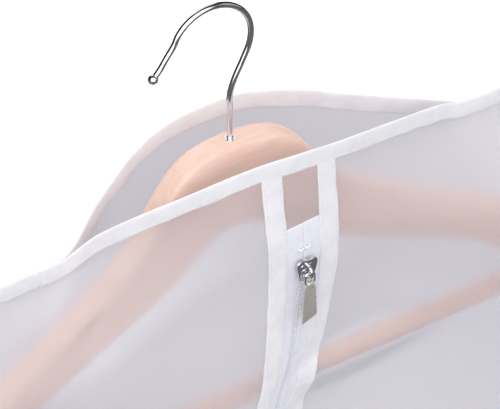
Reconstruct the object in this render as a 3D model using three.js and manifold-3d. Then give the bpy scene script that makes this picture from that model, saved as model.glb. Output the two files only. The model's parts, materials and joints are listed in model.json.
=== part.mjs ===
// Hanging garment bag: two film panels bound at the edges, a wide neck slot at the top, a coil zip
// down the front, and the wooden hanger with a swivel hook that carries it.
// Millimetres, +Z up, front towards -Y. The origin is the inside of the hook's crown, where a rail bears.
import * as THREE from 'three';
import { mergeVertices } from 'three/addons/utils/BufferGeometryUtils.js';
import Module from 'manifold-3d';

const wasm = await Module();
wasm.setup();

// ---------------------------------------------------------------- driving dimensions
const GAP = 0.3; // clearance between touching pieces
const EDGE_GAP = 1.6; // between a film's curved edge and its binding

const WIRE_RADIUS = 1.5; // hook wire
const HOOK_RADIUS = 21.3; // crown, to the wire's middle
const CROWN_Z = -(HOOK_RADIUS - WIRE_RADIUS); // centre of the crown's arc
const STEM_X = 9.7; // the stem stands this far from the rail's point
const HEAD_TOP_Z = -77.8; // top of the hanger's head
const BALL_RADIUS = 2.5;

const HEAD_HEIGHT = 50;
const HANGER_HALF_WIDTH = 215;
const HANGER_FORWARD = 26; // how far the arm tips curve forward
const ARM_HALF_THICK = [8, 7.5]; // at the head and at the tip
const BAR_RADIUS = 5.5;
const BAR_HALF_LENGTH = 178;
const BAR_Z = HEAD_TOP_Z - 147;
const BAR_Y = -20.5;

const BAG_CENTRE_X = 30.7; // the zip's line
const BAG_HALF_WIDTH = 300;
const SLOT_HALF_WIDTH = 117;
const SEAM_Z = HEAD_TOP_Z - 35; // top seam beside the neck slot
const SHOULDER_DROP = 62;
const SHOULDER_START = 150;
const CORNER_RADIUS = 30;
const BOTTOM_Z = -1078;
const TIP_TENT = { left: 22.5, right: 15 }; // how far the front film stands out over the arm tips
const BODY_BACK = 12;
const FILM = 0.8; // film panels, thickened so that they are solids
const BINDING_WIDTH = 10;
const BINDING_HALF_THICK = 1.6;

// The open lips of the neck slot: [distance across from the zip, height above the seam, distance out].
const FRONT_LIP = [[-117, 0, 0], [-95, 10.8, 3], [-60, 25.8, 16], [-26, 35.8, 25.5], [0, 35.2, 28],
  [25, 30.9, 26.5], [64, 18.8, 15], [99, 6.5, 3], [117, 0, 0]];
const BACK_LIP = [[-117, 0, 0], [-81, 11, 19], [-48, 28, 28], [-2, 32.5, 29], [33, 24.5, 25], [58, 15.5, 19],
  [82, 8, 12.5], [104, 2, 5], [117, 0, 0]];

const STRIP_INNER = 10; // the zip's white strips, from the zip's middle line
const STRIP_OUTER = 21;
const TRACK_Y = -32; // the film's place at the closed slider
const TRACK_TOP_Z = HEAD_TOP_Z - 66; // the slider's middle when the zip is closed
const TRACK_SLOPE = 0.024; // the track nears the middle plane by this much for each mm down
const TAPE_TOP_Z = HEAD_TOP_Z - 40;
const ZIP_END_Z = BOTTOM_Z + 62;
const COIL_INNER = 1;
const COIL_OUTER = 3.2;

const SLIDER_HALF_WIDTH = 5.9;
const SLIDER_HALF_LENGTH = 6.3;
const PLATE_FRONT = 3.7; // the slider's front face, from the film
const PLATE_INSIDE = 2.5; // its inner face, clear of the coil
const REAR_PLATE = [0.8, 1.9]; // the rear plate's two faces
const FLANGE_REACH = 0.75; // the flanges end this far in front of the film
const POST_HALF_WIDTH = 0.6;
const POST_TOP_INSET = 0.4;
const POST_LENGTH = 3;
const BAIL_HALF_LENGTH = 3.8;
const BAIL_HEIGHT = 4;
const BAIL_EYE = 1.9;
const BAIL_EYE_RADIUS = 1.3;
const LINK_WIRE = 0.6;
const LINK_HALF_WIDTH = 2.6;
const LINK_LENGTH = 6.4;
const TAB_WIDTH = 8.8;
const TAB_LENGTH = 27;

// ---------------------------------------------------------------- colours
const finish = (colour, roughness, metalness = 0) =>
  new THREE.MeshStandardMaterial({ color: colour, roughness, metalness });
const FILM_FINISH = finish(0xd4d3da, 0.45);
const BINDING_FINISH = finish(0xf2f1f8, 0.7);
const TAPE_FINISH = finish(0xe9e8f2, 0.75);
const COIL_FINISH = finish(0xdedeea, 0.4);
const WOOD_FINISH = finish(0xf2c49a, 0.35);
const CHROME_FINISH = finish(0xc8c8cc, 0.12, 1);
const TAB_FINISH = finish(0xbdb6ac, 0.35, 1);

const garmentBag = new THREE.Group();

function addPiece(name, geometry, material) {
  const mesh = new THREE.Mesh(geometry, material);
  mesh.name = name;
  garmentBag.add(mesh);
  return mesh;
}

// ---------------------------------------------------------------- solid helpers
function toManifold(geometry) {
  const bare = geometry.clone();
  bare.deleteAttribute('normal');
  bare.deleteAttribute('uv');
  const merged = mergeVertices(bare, 1e-4);
  return new wasm.Manifold(new wasm.Mesh({
    numProp: 3,
    vertProperties: new Float32Array(merged.attributes.position.array),
    triVerts: new Uint32Array(merged.index.array),
  }));
}

function fromManifold(solid) {
  const mesh = solid.getMesh();
  const geometry = new THREE.BufferGeometry();
  geometry.setAttribute('position', new THREE.BufferAttribute(new Float32Array(mesh.vertProperties), 3));
  geometry.setIndex(new THREE.BufferAttribute(new Uint32Array(mesh.triVerts), 1));
  geometry.computeVertexNormals();
  return geometry;
}

const cut = (geometry, ...tools) =>
  fromManifold(tools.reduce((solid, tool) => solid.subtract(toManifold(tool)), toManifold(geometry)));

const join = (first, ...others) =>
  fromManifold(others.reduce((solid, other) => solid.add(toManifold(other)), toManifold(first)));

// A closed skin over rings of points that all have the same count, capped at both ends.
function loft(rings) {
  const count = rings[0].length;
  const positions = rings.flat().flatMap((p) => [p.x, p.y, p.z]);
  const index = [];
  for (let r = 0; r + 1 < rings.length; r += 1) {
    for (let i = 0; i < count; i += 1) {
      const next = (i + 1) % count;
      const [a, b, c, d] = [r * count + i, r * count + next, (r + 1) * count + i, (r + 1) * count + next];
      index.push(a, b, d, a, d, c);
    }
  }
  const last = (rings.length - 1) * count;
  for (let i = 1; i + 1 < count; i += 1) {
    index.push(0, i + 1, i);
    index.push(last, last + i, last + i + 1);
  }
  const geometry = new THREE.BufferGeometry();
  geometry.setAttribute('position', new THREE.Float32BufferAttribute(positions, 3));
  geometry.setIndex(index);
  geometry.computeVertexNormals();
  return geometry;
}

// A box between two opposite corners.
function boxBetween(low, high) {
  const size = high.map((value, axis) => value - low[axis]);
  const geometry = new THREE.BoxGeometry(...size);
  geometry.translate(...low.map((value, axis) => value + size[axis] / 2));
  return geometry;
}

// A round rod along X, Y or Z between two places on that axis.
function rod(axis, radius, from, to, centre, sides = 20) {
  const geometry = new THREE.CylinderGeometry(radius, radius, to - from, sides);
  if (axis === 'x') geometry.rotateZ(-Math.PI / 2);
  if (axis === 'z') geometry.rotateX(Math.PI / 2);
  const middle = (from + to) / 2;
  const place = { x: [middle, ...centre], y: [centre[0], middle, centre[1]], z: [...centre, middle] }[axis];
  return geometry.translate(...place);
}

function circleSection(radius, sides) {
  const shape = new THREE.Shape();
  shape.absarc(0, 0, radius, 0, Math.PI * 2);
  return new THREE.Shape(shape.getPoints(sides).slice(0, sides));
}

function tube(curve, radius, sides, steps) {
  return new THREE.ExtrudeGeometry(circleSection(radius, sides), { steps, extrudePath: curve });
}

// ---------------------------------------------------------------- hook
function hookPath() {
  const points = [
    new THREE.Vector3(-29.6, 0, -25.4), new THREE.Vector3(-27.3, 0, -22.8), new THREE.Vector3(-24.6, 0, -18.8),
  ];
  for (let angle = 160; angle >= -5; angle -= 15) {
    const turn = THREE.MathUtils.degToRad(angle);
    points.push(new THREE.Vector3(HOOK_RADIUS * Math.cos(turn), 0, CROWN_Z + HOOK_RADIUS * Math.sin(turn)));
  }
  points.push(new THREE.Vector3(20.2, 0, -27.2), new THREE.Vector3(16.5, 0, -35.5));
  points.push(new THREE.Vector3(12.2, 0, -44.3), new THREE.Vector3(STEM_X + 0.1, 0, -52));
  points.push(new THREE.Vector3(STEM_X, 0, -60), new THREE.Vector3(STEM_X, 0, -90));
  points.push(new THREE.Vector3(STEM_X, 0, HEAD_TOP_Z - HEAD_HEIGHT - 2));
  return new THREE.CatmullRomCurve3(points, false, 'centripetal');
}

function addHook() {
  const path = hookPath();
  addPiece('hook_wire', tube(path, WIRE_RADIUS, 10, 60), CHROME_FINISH);

  const end = path.getPointAt(0);
  const outward = path.getTangentAt(0).negate();
  const ball = new THREE.SphereGeometry(BALL_RADIUS, 20, 14);
  const centre = end.clone().addScaledVector(outward, BALL_RADIUS - 0.2);
  ball.translate(centre.x, centre.y, centre.z);
  const socket = new THREE.CylinderGeometry(WIRE_RADIUS + GAP, WIRE_RADIUS + GAP, 12, 16);
  socket.applyQuaternion(new THREE.Quaternion().setFromUnitVectors(new THREE.Vector3(0, 1, 0), outward));
  const back = end.clone().addScaledVector(outward, GAP - 6);
  socket.translate(back.x, back.y, back.z);
  addPiece('hook_ball_tip', cut(ball, socket), CHROME_FINISH);

  const under = HEAD_TOP_Z - HEAD_HEIGHT;
  addPiece('hook_end_nut', cut(
    rod('z', 4, under + 1.6, under + 5, [STEM_X, 0], 6),
    rod('z', WIRE_RADIUS + GAP, under, under + 6, [STEM_X, 0]),
  ), CHROME_FINISH);
}

// ---------------------------------------------------------------- hanger
// The hanger's outline below its head's top, at a distance from the stem.
const TOP_OUTLINE = [[0, 0], [14, -0.3], [24, -2.6], [33, -8.5], [41, -18], [50, -31], [60, -43.5],
  [75, -54], [100, -68], [133, -84], [175, -104], [200, -118], [210, -127], [215, -139]];
const UNDER_OUTLINE = [[0, -50], [10, -51], [18, -57], [26, -63], [34, -68], [43, -72.8], [55, -78.2], [67, -83.2],
  [80, -87.8], [97, -94.7], [115, -101.8], [133, -109], [150, -123], [165, -142], [178, -153], [195, -156.5],
  [208, -155], [215, -147]];

function heightAt(outline, distance) {
  const next = outline.findIndex(([x]) => x >= distance);
  if (next <= 0) return outline[0][1];
  const [[x0, z0], [x1, z1]] = [outline[next - 1], outline[next]];
  return z0 + ((z1 - z0) * (distance - x0)) / (x1 - x0);
}

const forwardAt = (distance) => HANGER_FORWARD * (distance / HANGER_HALF_WIDTH) ** 1.3;

function armRing(side, distance) {
  const top = HEAD_TOP_Z + heightAt(TOP_OUTLINE, distance);
  const under = HEAD_TOP_Z + heightAt(UNDER_OUTLINE, distance);
  const share = distance / HANGER_HALF_WIDTH;
  const halfThick = THREE.MathUtils.lerp(ARM_HALF_THICK[0], ARM_HALF_THICK[1], share);
  const halfHeight = (top - under) / 2;
  const rounding = 2 / 3.4; // a superellipse between an oval and a box
  const ring = [];
  const sides = 20;
  for (let i = 0; i < sides; i += 1) {
    const turn = ((i + 0.5) / sides) * Math.PI * 2 * side;
    const [c, s] = [Math.cos(turn), Math.sin(turn)];
    ring.push(new THREE.Vector3(
      STEM_X + side * distance,
      -forwardAt(distance) + halfThick * Math.sign(c) * Math.abs(c) ** rounding,
      (top + under) / 2 + halfHeight * Math.sign(s) * Math.abs(s) ** rounding,
    ));
  }
  return ring;
}

function armStations() {
  const places = [GAP / 2, 10, 18, 26, 34, 42, 50, 60, 72, 86, 105, 120, 135, 150, 165, 178, 190, 200, 207,
    211.5, 214.5];
  return places;
}

function addHanger() {
  const under = HEAD_TOP_Z - HEAD_HEIGHT;
  const dowelHoles = [-14, -34];
  const stemHole = rod('z', WIRE_RADIUS + 2 * GAP, under - 4, HEAD_TOP_Z + 2, [STEM_X, 0]);
  const ferruleSeat = rod('z', 3 + GAP, HEAD_TOP_Z - 5, HEAD_TOP_Z + 2, [STEM_X, 0]);
  const nutSeat = rod('z', 5.2, under - 6, under + 6, [STEM_X, 0]);
  for (const [side, name] of [[-1, 'left'], [1, 'right']]) {
    const barHole = rod('x', BAR_RADIUS + GAP, STEM_X - BAR_HALF_LENGTH - GAP, STEM_X + BAR_HALF_LENGTH + GAP,
      [BAR_Y, BAR_Z], 24);
    const dowels = dowelHoles.map((drop) =>
      rod('x', 2 + GAP, STEM_X - 12, STEM_X + 12, [-5.2, HEAD_TOP_Z + drop], 12));
    const arm = loft(armStations().map((distance) => armRing(side, distance)));
    addPiece(`hanger_arm_${name}`, cut(arm, stemHole, ferruleSeat, nutSeat, barHole, ...dowels), WOOD_FINISH);
  }
  dowelHoles.forEach((drop, i) => {
    addPiece(`hanger_dowel_${i ? 'lower' : 'upper'}`,
      rod('x', 2, STEM_X - 11.5, STEM_X + 11.5, [-5.2, HEAD_TOP_Z + drop], 12), WOOD_FINISH);
  });
  addPiece('trouser_bar', rod('x', BAR_RADIUS, STEM_X - BAR_HALF_LENGTH, STEM_X + BAR_HALF_LENGTH,
    [BAR_Y, BAR_Z], 24), WOOD_FINISH);
  addPiece('hook_ferrule', cut(
    rod('z', 3, HEAD_TOP_Z - 4.6, HEAD_TOP_Z - 0.1, [STEM_X, 0]),
    rod('z', WIRE_RADIUS + GAP, HEAD_TOP_Z - 6, HEAD_TOP_Z + 1, [STEM_X, 0]),
  ), CHROME_FINISH);
}

// ---------------------------------------------------------------- the bag's surfaces
// u is the distance across from the zip's line; z is the height.
const smooth = (t) => THREE.MathUtils.smoothstep(t, 0, 1);

// A smooth curve through a lip's points, read at u: column 1 is its rise, column 2 its distance out.
function readLip(lip, column, u) {
  const last = lip.length - 1;
  if (u <= lip[0][0] || u >= lip[last][0]) return 0;
  const slope = (i) => (i === 0 || i === last ? 0
    : (lip[i + 1][column] - lip[i - 1][column]) / (lip[i + 1][0] - lip[i - 1][0]));
  const i = lip.findIndex((_, k) => u < lip[k + 1][0]);
  const width = lip[i + 1][0] - lip[i][0];
  const t = (u - lip[i][0]) / width;
  const [t2, t3] = [t * t, t * t * t];
  return (2 * t3 - 3 * t2 + 1) * lip[i][column] + (t3 - 2 * t2 + t) * width * slope(i)
    + (3 * t2 - 2 * t3) * lip[i + 1][column] + (t3 - t2) * width * slope(i + 1);
}

const seamEdge = (u) => {
  const across = Math.abs(u);
  const shoulder = SHOULDER_DROP * Math.max(0, (across - SHOULDER_START) / (BAG_HALF_WIDTH - SHOULDER_START)) ** 1.6;
  const inCorner = Math.max(0, across - (BAG_HALF_WIDTH - CORNER_RADIUS));
  const corner = CORNER_RADIUS - Math.sqrt(CORNER_RADIUS ** 2 - Math.min(inCorner, CORNER_RADIUS) ** 2);
  return SEAM_Z - shoulder - corner;
};
const frontEdge = (u) => seamEdge(u) + readLip(FRONT_LIP, 1, u);
const backEdge = (u) => seamEdge(u) + readLip(BACK_LIP, 1, u);

const trackY = (z) => TRACK_Y + TRACK_SLOPE * (TRACK_TOP_Z - z);

// The front film tents over the arm tips, and closes on the back film at the sides and the bottom.
function frontY(u, z) {
  const drop = frontEdge(u) - z - BINDING_WIDTH;
  const across = Math.abs(u / BAG_HALF_WIDTH);
  const closing = Math.max(0, 1 - across ** 3);
  const bottom = smooth((z - BOTTOM_Z) / 60);
  const side = Math.sign(u) || 1;
  const tipU = STEM_X + side * (HANGER_HALF_WIDTH - 12) - BAG_CENTRE_X;
  const tent = (side < 0 ? TIP_TENT.left : TIP_TENT.right) * Math.exp(-(((u - tipU) / 46) ** 2))
    * Math.exp(-(((z - BAR_Z - 12) / 75) ** 2)) * Math.max(0, 1 - across ** 8);
  const body = (trackY(Math.min(z, TRACK_TOP_Z)) * closing - tent) * bottom;
  return THREE.MathUtils.lerp(-readLip(FRONT_LIP, 2, u), body, smooth(drop / 44));
}

function backY(u, z) {
  const drop = backEdge(u) - z - BINDING_WIDTH;
  const closing = Math.max(0, 1 - Math.abs(u / BAG_HALF_WIDTH) ** 4);
  const body = BODY_BACK * closing * smooth((z - BOTTOM_Z) / 60);
  return THREE.MathUtils.lerp(readLip(BACK_LIP, 2, u), body, smooth(drop / 70));
}

// Heights at which every soft layer has a row, so that stacked layers keep the same facets.
const HEIGHTS = [-90, -100, -110, -121, -132, -144, -156, -168, -180, -192, -204, -216, -232, -252, -280, -320,
  -380, -460, -560, -660, -760, -860, -960, BOTTOM_Z + 60, BOTTOM_Z + 50, BOTTOM_Z + 40, BOTTOM_Z + 30,
  BOTTOM_Z + 20];

// The heights of a layer's rows at u: its own top edge, evenly down to the shared rows, and its bottom edge.
function rowHeights(u, { top, bottom, headRows, highest, lowest }) {
  const shared = HEIGHTS.filter((z) => z < highest - 2 && z > lowest + 2);
  const first = shared.length ? shared[0] : bottom(u);
  const head = Array.from({ length: headRows }, (_, j) => THREE.MathUtils.lerp(top(u), first, j / headRows));
  return [...head, ...shared, bottom(u)];
}

// A soft layer between two offsets from a panel's surface. Its top and bottom edges are functions of u.
function layer({ surface, from, to, top, bottom, near, far, columns, headRows = 1 }) {
  const places = Array.from({ length: columns + 1 }, (_, i) => from + ((to - from) * i) / columns);
  const limits = {
    top, bottom, headRows, highest: Math.min(...places.map(top)), lowest: Math.max(...places.map(bottom)),
  };
  const heights = places.map((u) => rowHeights(u, limits));
  const rows = heights[0].length - 1;
  const positions = [];
  const width = columns + 1;
  for (const offset of [near, far]) {
    for (let j = 0; j <= rows; j += 1) {
      places.forEach((u, i) => {
        const z = heights[i][j];
        positions.push(BAG_CENTRE_X + u, surface(u, z) + offset, z);
      });
    }
  }
  const back = width * (rows + 1);
  const at = (i, j) => j * width + i;
  const index = [];
  const quad = (a, b, c, d) => index.push(a, b, c, a, c, d);
  for (let j = 0; j < rows; j += 1) {
    for (let i = 0; i < columns; i += 1) {
      quad(at(i, j), at(i, j + 1), at(i + 1, j + 1), at(i + 1, j));
      quad(back + at(i, j), back + at(i + 1, j), back + at(i + 1, j + 1), back + at(i, j + 1));
    }
    quad(at(0, j), back + at(0, j), back + at(0, j + 1), at(0, j + 1));
    quad(at(columns, j), at(columns, j + 1), back + at(columns, j + 1), back + at(columns, j));
  }
  for (let i = 0; i < columns; i += 1) {
    quad(at(i, 0), at(i + 1, 0), back + at(i + 1, 0), back + at(i, 0));
    quad(at(i, rows), back + at(i, rows), back + at(i + 1, rows), at(i + 1, rows));
  }
  const geometry = new THREE.BufferGeometry();
  geometry.setAttribute('position', new THREE.Float32BufferAttribute(positions, 3));
  geometry.setIndex(index);
  geometry.computeVertexNormals();
  return geometry;
}

const below = (edge, drop) => (u) => edge(u) - drop;
const level = (z) => () => z;

function addPanels() {
  const film = { near: -FILM / 2, far: FILM / 2 };
  const edge = BAG_HALF_WIDTH - BINDING_WIDTH - GAP;
  const top = below(frontEdge, BINDING_WIDTH + EDGE_GAP);
  const bottom = level(BOTTOM_Z + BINDING_WIDTH + GAP);
  const seamGap = (surface, sign) => (u, z) => surface(u, z) + sign * (FILM / 2 + GAP);
  addPiece('back_panel', layer({
    surface: seamGap(backY, 1), from: -edge, to: edge, top: below(backEdge, BINDING_WIDTH + EDGE_GAP), bottom, ...film,
    columns: 26, headRows: 8,
  }), FILM_FINISH);
  const inner = STRIP_INNER + 4;
  for (const [side, name] of [[-1, 'left'], [1, 'right']]) {
    const [from, to] = side < 0 ? [-edge, -inner] : [inner, edge];
    addPiece(`front_panel_${name}`, layer({
      surface: seamGap(frontY, -1), from, to, top, bottom, ...film, columns: 20, headRows: 8,
    }), FILM_FINISH);
  }
  const surface = seamGap(frontY, -1);
  const halfGap = inner - GAP;
  addPiece('zip_bridge_panel', layer({
    surface, from: -halfGap, to: halfGap, top, bottom: level(TAPE_TOP_Z + GAP), ...film, columns: 4,
  }), FILM_FINISH);
  addPiece('zip_foot_panel', layer({
    surface, from: -halfGap, to: halfGap, top: level(ZIP_END_Z - GAP), bottom, ...film, columns: 4,
  }), FILM_FINISH);

  for (const [side, name] of [[-1, 'left'], [1, 'right']]) {
    const span = (a, b) => (side < 0 ? { from: -b, to: -a } : { from: a, to: b });
    addPiece(`zip_tape_${name}`, layer({
      surface, ...span(COIL_INNER, halfGap), top: level(TAPE_TOP_Z), bottom: level(ZIP_END_Z),
      ...film, columns: 2,
    }), TAPE_FINISH);
    addPiece(`zip_strip_${name}`, layer({
      surface, ...span(STRIP_INNER, STRIP_OUTER), top, bottom,
      near: -FILM / 2 - GAP - 1, far: -FILM / 2 - GAP, columns: 2,
    }), BINDING_FINISH);
    addPiece(`zip_coil_${name}`, layer({
      surface, ...span(COIL_INNER, COIL_OUTER), top: level(TRACK_TOP_Z + SLIDER_HALF_LENGTH + 3),
      bottom: level(ZIP_END_Z + 8), near: -FILM / 2 - GAP - 1.5, far: -FILM / 2 - GAP, columns: 1,
    }), COIL_FINISH);
    const stopZ = TRACK_TOP_Z + SLIDER_HALF_LENGTH + 3 + GAP;
    addPiece(`zip_top_stop_${name}`, layer({
      surface, ...span(COIL_INNER, COIL_OUTER), top: level(stopZ + 3.5), bottom: level(stopZ),
      near: -FILM / 2 - GAP - 1.5, far: -FILM / 2 - GAP, columns: 1,
    }), COIL_FINISH);
  }
  addPiece('zip_bottom_stop', layer({
    surface, from: -COIL_OUTER, to: COIL_OUTER, top: level(ZIP_END_Z + 8 - GAP), bottom: level(ZIP_END_Z + 3),
    near: -FILM / 2 - GAP - 1.8, far: -FILM / 2 - GAP, columns: 2,
  }), CHROME_FINISH);
}

function addBindings() {
  const half = BINDING_HALF_THICK;
  const inner = BAG_HALF_WIDTH - BINDING_WIDTH;
  const middle = () => 0;
  const lipEnd = SLOT_HALF_WIDTH - GAP / 2;
  const lip = (edge) => ({
    from: -lipEnd, to: lipEnd, top: edge, bottom: below(edge, BINDING_WIDTH), columns: 40,
  });
  const facing = (surface, sign) => (u, z) => surface(u, z) + sign * (half / 2 + GAP / 2);
  addPiece('neck_binding_front', layer({
    surface: facing(frontY, -1), ...lip(frontEdge), near: -half / 2, far: half / 2,
  }), BINDING_FINISH);
  addPiece('neck_binding_back', layer({
    surface: facing(backY, 1), ...lip(backEdge), near: -half / 2, far: half / 2,
  }), BINDING_FINISH);
  for (const [side, name] of [[-1, 'left'], [1, 'right']]) {
    const span = (a, b) => (side < 0 ? { from: -b, to: -a } : { from: a, to: b });
    addPiece(`shoulder_binding_${name}`, layer({
      surface: middle, ...span(SLOT_HALF_WIDTH + GAP / 2, inner - GAP), top: seamEdge,
      bottom: below(seamEdge, BINDING_WIDTH),
      near: -half, far: half, columns: 22,
    }), BINDING_FINISH);
    addPiece(`side_binding_${name}`, layer({
      surface: middle, ...span(inner, BAG_HALF_WIDTH), top: seamEdge, bottom: level(BOTTOM_Z + BINDING_WIDTH + GAP),
      near: -half, far: half, columns: 4,
    }), BINDING_FINISH);
  }
  addPiece('bottom_binding', layer({
    surface: middle, from: -BAG_HALF_WIDTH, to: BAG_HALF_WIDTH, top: level(BOTTOM_Z + BINDING_WIDTH),
    bottom: level(BOTTOM_Z), near: -half, far: half, columns: 12,
  }), BINDING_FINISH);
}

// ---------------------------------------------------------------- slider and pull
// Built about the track's point at the closed end, with its plates square to Y and leaned with the track.
function addSlider() {
  const lean = Math.atan(TRACK_SLOPE);
  const place = (geometry) => geometry.rotateX(lean)
    .translate(BAG_CENTRE_X, TRACK_Y - FILM / 2 - GAP, TRACK_TOP_Z);
  const [w, l] = [SLIDER_HALF_WIDTH, SLIDER_HALF_LENGTH];
  const joined = (PLATE_FRONT + PLATE_INSIDE) / 2;
  const frontPlate = boxBetween([-w, -PLATE_FRONT, -l], [w, -PLATE_INSIDE, l]);
  const backPlate = boxBetween([-w, REAR_PLATE[0], -l], [w, REAR_PLATE[1], l]);
  const post = boxBetween([-POST_HALF_WIDTH, -joined, l - POST_TOP_INSET - POST_LENGTH],
    [POST_HALF_WIDTH, (REAR_PLATE[0] + REAR_PLATE[1]) / 2, l - POST_TOP_INSET]);
  const flanges = [-1, 1].map((side) => {
    const [a, b] = [side * (COIL_OUTER + 0.5), side * w];
    return boxBetween([Math.min(a, b), -joined, -l], [Math.max(a, b), -FLANGE_REACH, l]);
  });
  addPiece('slider_body', place(join(frontPlate, backPlate, post, ...flanges)), CHROME_FINISH);

  // The bail is an arch that stands out towards -Y, with its eye along X.
  const arch = new THREE.Shape();
  arch.moveTo(BAIL_HALF_LENGTH, 0);
  arch.absellipse(0, 0, BAIL_HALF_LENGTH, BAIL_HEIGHT, 0, Math.PI);
  const eye = new THREE.Path();
  eye.absarc(0, BAIL_EYE, BAIL_EYE_RADIUS, 0, Math.PI * 2, true);
  arch.holes.push(eye);
  const bail = new THREE.ExtrudeGeometry(arch, { depth: 1.6, bevelEnabled: false, curveSegments: 12 });
  const [x, y, z] = [[1, 0, 0], [0, -1, 0], [0, 0, 1]].map((axis) => new THREE.Vector3(...axis));
  bail.translate(0, 0, -0.8).applyMatrix4(new THREE.Matrix4().makeBasis(z, y, x));
  addPiece('slider_bail', place(bail.translate(0, -PLATE_FRONT - GAP, 0)), CHROME_FINISH);
}

// The pull hangs straight down from the bail's eye: a wire link, then a tab rolled round the link's foot.
function addPull() {
  const y = TRACK_Y - FILM / 2 - GAP - PLATE_FRONT - GAP - BAIL_EYE;
  const linkTop = TRACK_TOP_Z - 0.7;
  const linkFoot = linkTop - LINK_LENGTH;
  const bend = 1.6;
  const corners = [];
  for (const [sx, sz, start] of [[1, 1, 0], [-1, 1, 90], [-1, -1, 180], [1, -1, 270]]) {
    const middle = sz > 0 ? linkTop - bend : linkFoot + bend;
    for (let k = 0; k <= 3; k += 1) {
      const turn = THREE.MathUtils.degToRad(start + 30 * k);
      corners.push(new THREE.Vector3(
        BAG_CENTRE_X + sx * (LINK_HALF_WIDTH - bend) + bend * Math.cos(turn), y, middle + bend * Math.sin(turn)));
    }
  }
  const oval = new THREE.CatmullRomCurve3(corners, true, 'centripetal');
  addPiece('pull_link', closedTube(oval, LINK_WIRE, 8, 28), CHROME_FINISH);

  const w = TAB_WIDTH / 2;
  const outline = new THREE.Shape([[-1.7, 0], [-w + 0.4, -3], [-w, -TAB_LENGTH + 1.6], [w + 0.3, -TAB_LENGTH + 6.4],
    [w - 0.4, -3], [1.7, 0]].map(([x, z]) => new THREE.Vector2(x, z)));
  const plate = new THREE.ExtrudeGeometry(outline, { depth: 1, bevelEnabled: false });
  plate.rotateX(Math.PI / 2).translate(BAG_CENTRE_X, y + 0.5, linkFoot);
  const barrel = rod('x', 1.5, BAG_CENTRE_X - 1.7, BAG_CENTRE_X + 1.7, [y, linkFoot], 16);
  const bore = rod('x', LINK_WIRE + GAP, BAG_CENTRE_X - 3, BAG_CENTRE_X + 3, [y, linkFoot], 12);
  addPiece('pull_tab', cut(join(plate, barrel), bore), TAB_FINISH);
}

// A ring of wire: a section swept round a closed curve that lies in a plane square to Y.
function closedTube(curve, radius, sides, steps) {
  const positions = [];
  const index = [];
  for (let j = 0; j < steps; j += 1) {
    const centre = curve.getPointAt(j / steps);
    const along = curve.getTangentAt(j / steps);
    const across = new THREE.Vector3(0, 1, 0);
    const outward = new THREE.Vector3().crossVectors(along, across);
    for (let i = 0; i < sides; i += 1) {
      const turn = (i / sides) * Math.PI * 2;
      const p = centre.clone().addScaledVector(outward, radius * Math.cos(turn))
        .addScaledVector(across, radius * Math.sin(turn));
      positions.push(p.x, p.y, p.z);
      const [a, b] = [j * sides + i, j * sides + ((i + 1) % sides)];
      const [c, d] = [((j + 1) % steps) * sides + i, ((j + 1) % steps) * sides + ((i + 1) % sides)];
      index.push(a, c, b, b, c, d);
    }
  }
  const geometry = new THREE.BufferGeometry();
  geometry.setAttribute('position', new THREE.Float32BufferAttribute(positions, 3));
  geometry.setIndex(index);
  geometry.computeVertexNormals();
  return geometry;
}

addHook();
addHanger();
addPanels();
addBindings();
addSlider();
addPull();

export default garmentBag;
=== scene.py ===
"""Looks of a hanging garment bag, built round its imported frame.

The bag is two frosted film panels with folded edging, a coil zip, and the wooden hanger with a swivel hook
that carries it. All sizes are in metres, in the frame's own coordinates: +Z is up and the zip faces -Y.
"""
from __future__ import annotations

import json
import logging
import math
import random
from dataclasses import dataclass, field
from enum import Enum
from functools import partial
from typing import Callable, Iterable, Sequence

import bmesh
import bpy
import numpy as np
from mathutils import Matrix, Vector

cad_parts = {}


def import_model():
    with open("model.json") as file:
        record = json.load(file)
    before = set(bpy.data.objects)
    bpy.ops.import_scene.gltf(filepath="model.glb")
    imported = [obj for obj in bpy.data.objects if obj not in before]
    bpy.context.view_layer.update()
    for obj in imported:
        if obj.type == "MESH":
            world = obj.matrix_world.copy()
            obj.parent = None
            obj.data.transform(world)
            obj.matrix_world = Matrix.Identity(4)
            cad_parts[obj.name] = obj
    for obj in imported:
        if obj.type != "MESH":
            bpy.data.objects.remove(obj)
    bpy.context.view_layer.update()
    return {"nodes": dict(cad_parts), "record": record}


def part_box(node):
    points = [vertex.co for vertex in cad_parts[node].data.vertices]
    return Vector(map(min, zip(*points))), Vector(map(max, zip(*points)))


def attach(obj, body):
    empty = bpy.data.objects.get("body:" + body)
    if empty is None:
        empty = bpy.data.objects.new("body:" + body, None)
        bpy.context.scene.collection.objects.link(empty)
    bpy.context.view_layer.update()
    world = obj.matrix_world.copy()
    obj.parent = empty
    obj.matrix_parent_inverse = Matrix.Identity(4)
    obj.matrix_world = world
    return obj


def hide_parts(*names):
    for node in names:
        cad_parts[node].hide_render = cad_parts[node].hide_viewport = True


log = logging.getLogger("garment_bag")
MM = 0.001
SAME_PLACE = 1e-7
NEARLY_NONE = 1e-9
FULL_TURN = 2 * math.pi
FINE_STEPS = 24
ANY_PHASE = 6.28
TRACK_Y = -32 * MM
Point = tuple[float, float, float]
Corner = tuple[float, float]


class Side(Enum):
    """A side of the bag, seen from the front."""

    LEFT = -1
    RIGHT = 1

    @property
    def word(self) -> str:
        """The side's name in lower case."""
        return self.name.lower()


class Face(Enum):
    """Which film panel a piece lies on."""

    FRONT = -1
    BACK = 1


# -------------------------------------------------------------------------------- mesh helpers
def linked(name: str, data: bpy.types.ID) -> bpy.types.Object:
    """Makes an object and links it to the scene.

    Args:
        name: the object's name.
        data: the mesh, light or camera that it shows.

    Returns:
        The new object.
    """
    made = bpy.data.objects.new(name, data)
    bpy.context.scene.collection.objects.link(made)
    return made


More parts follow.
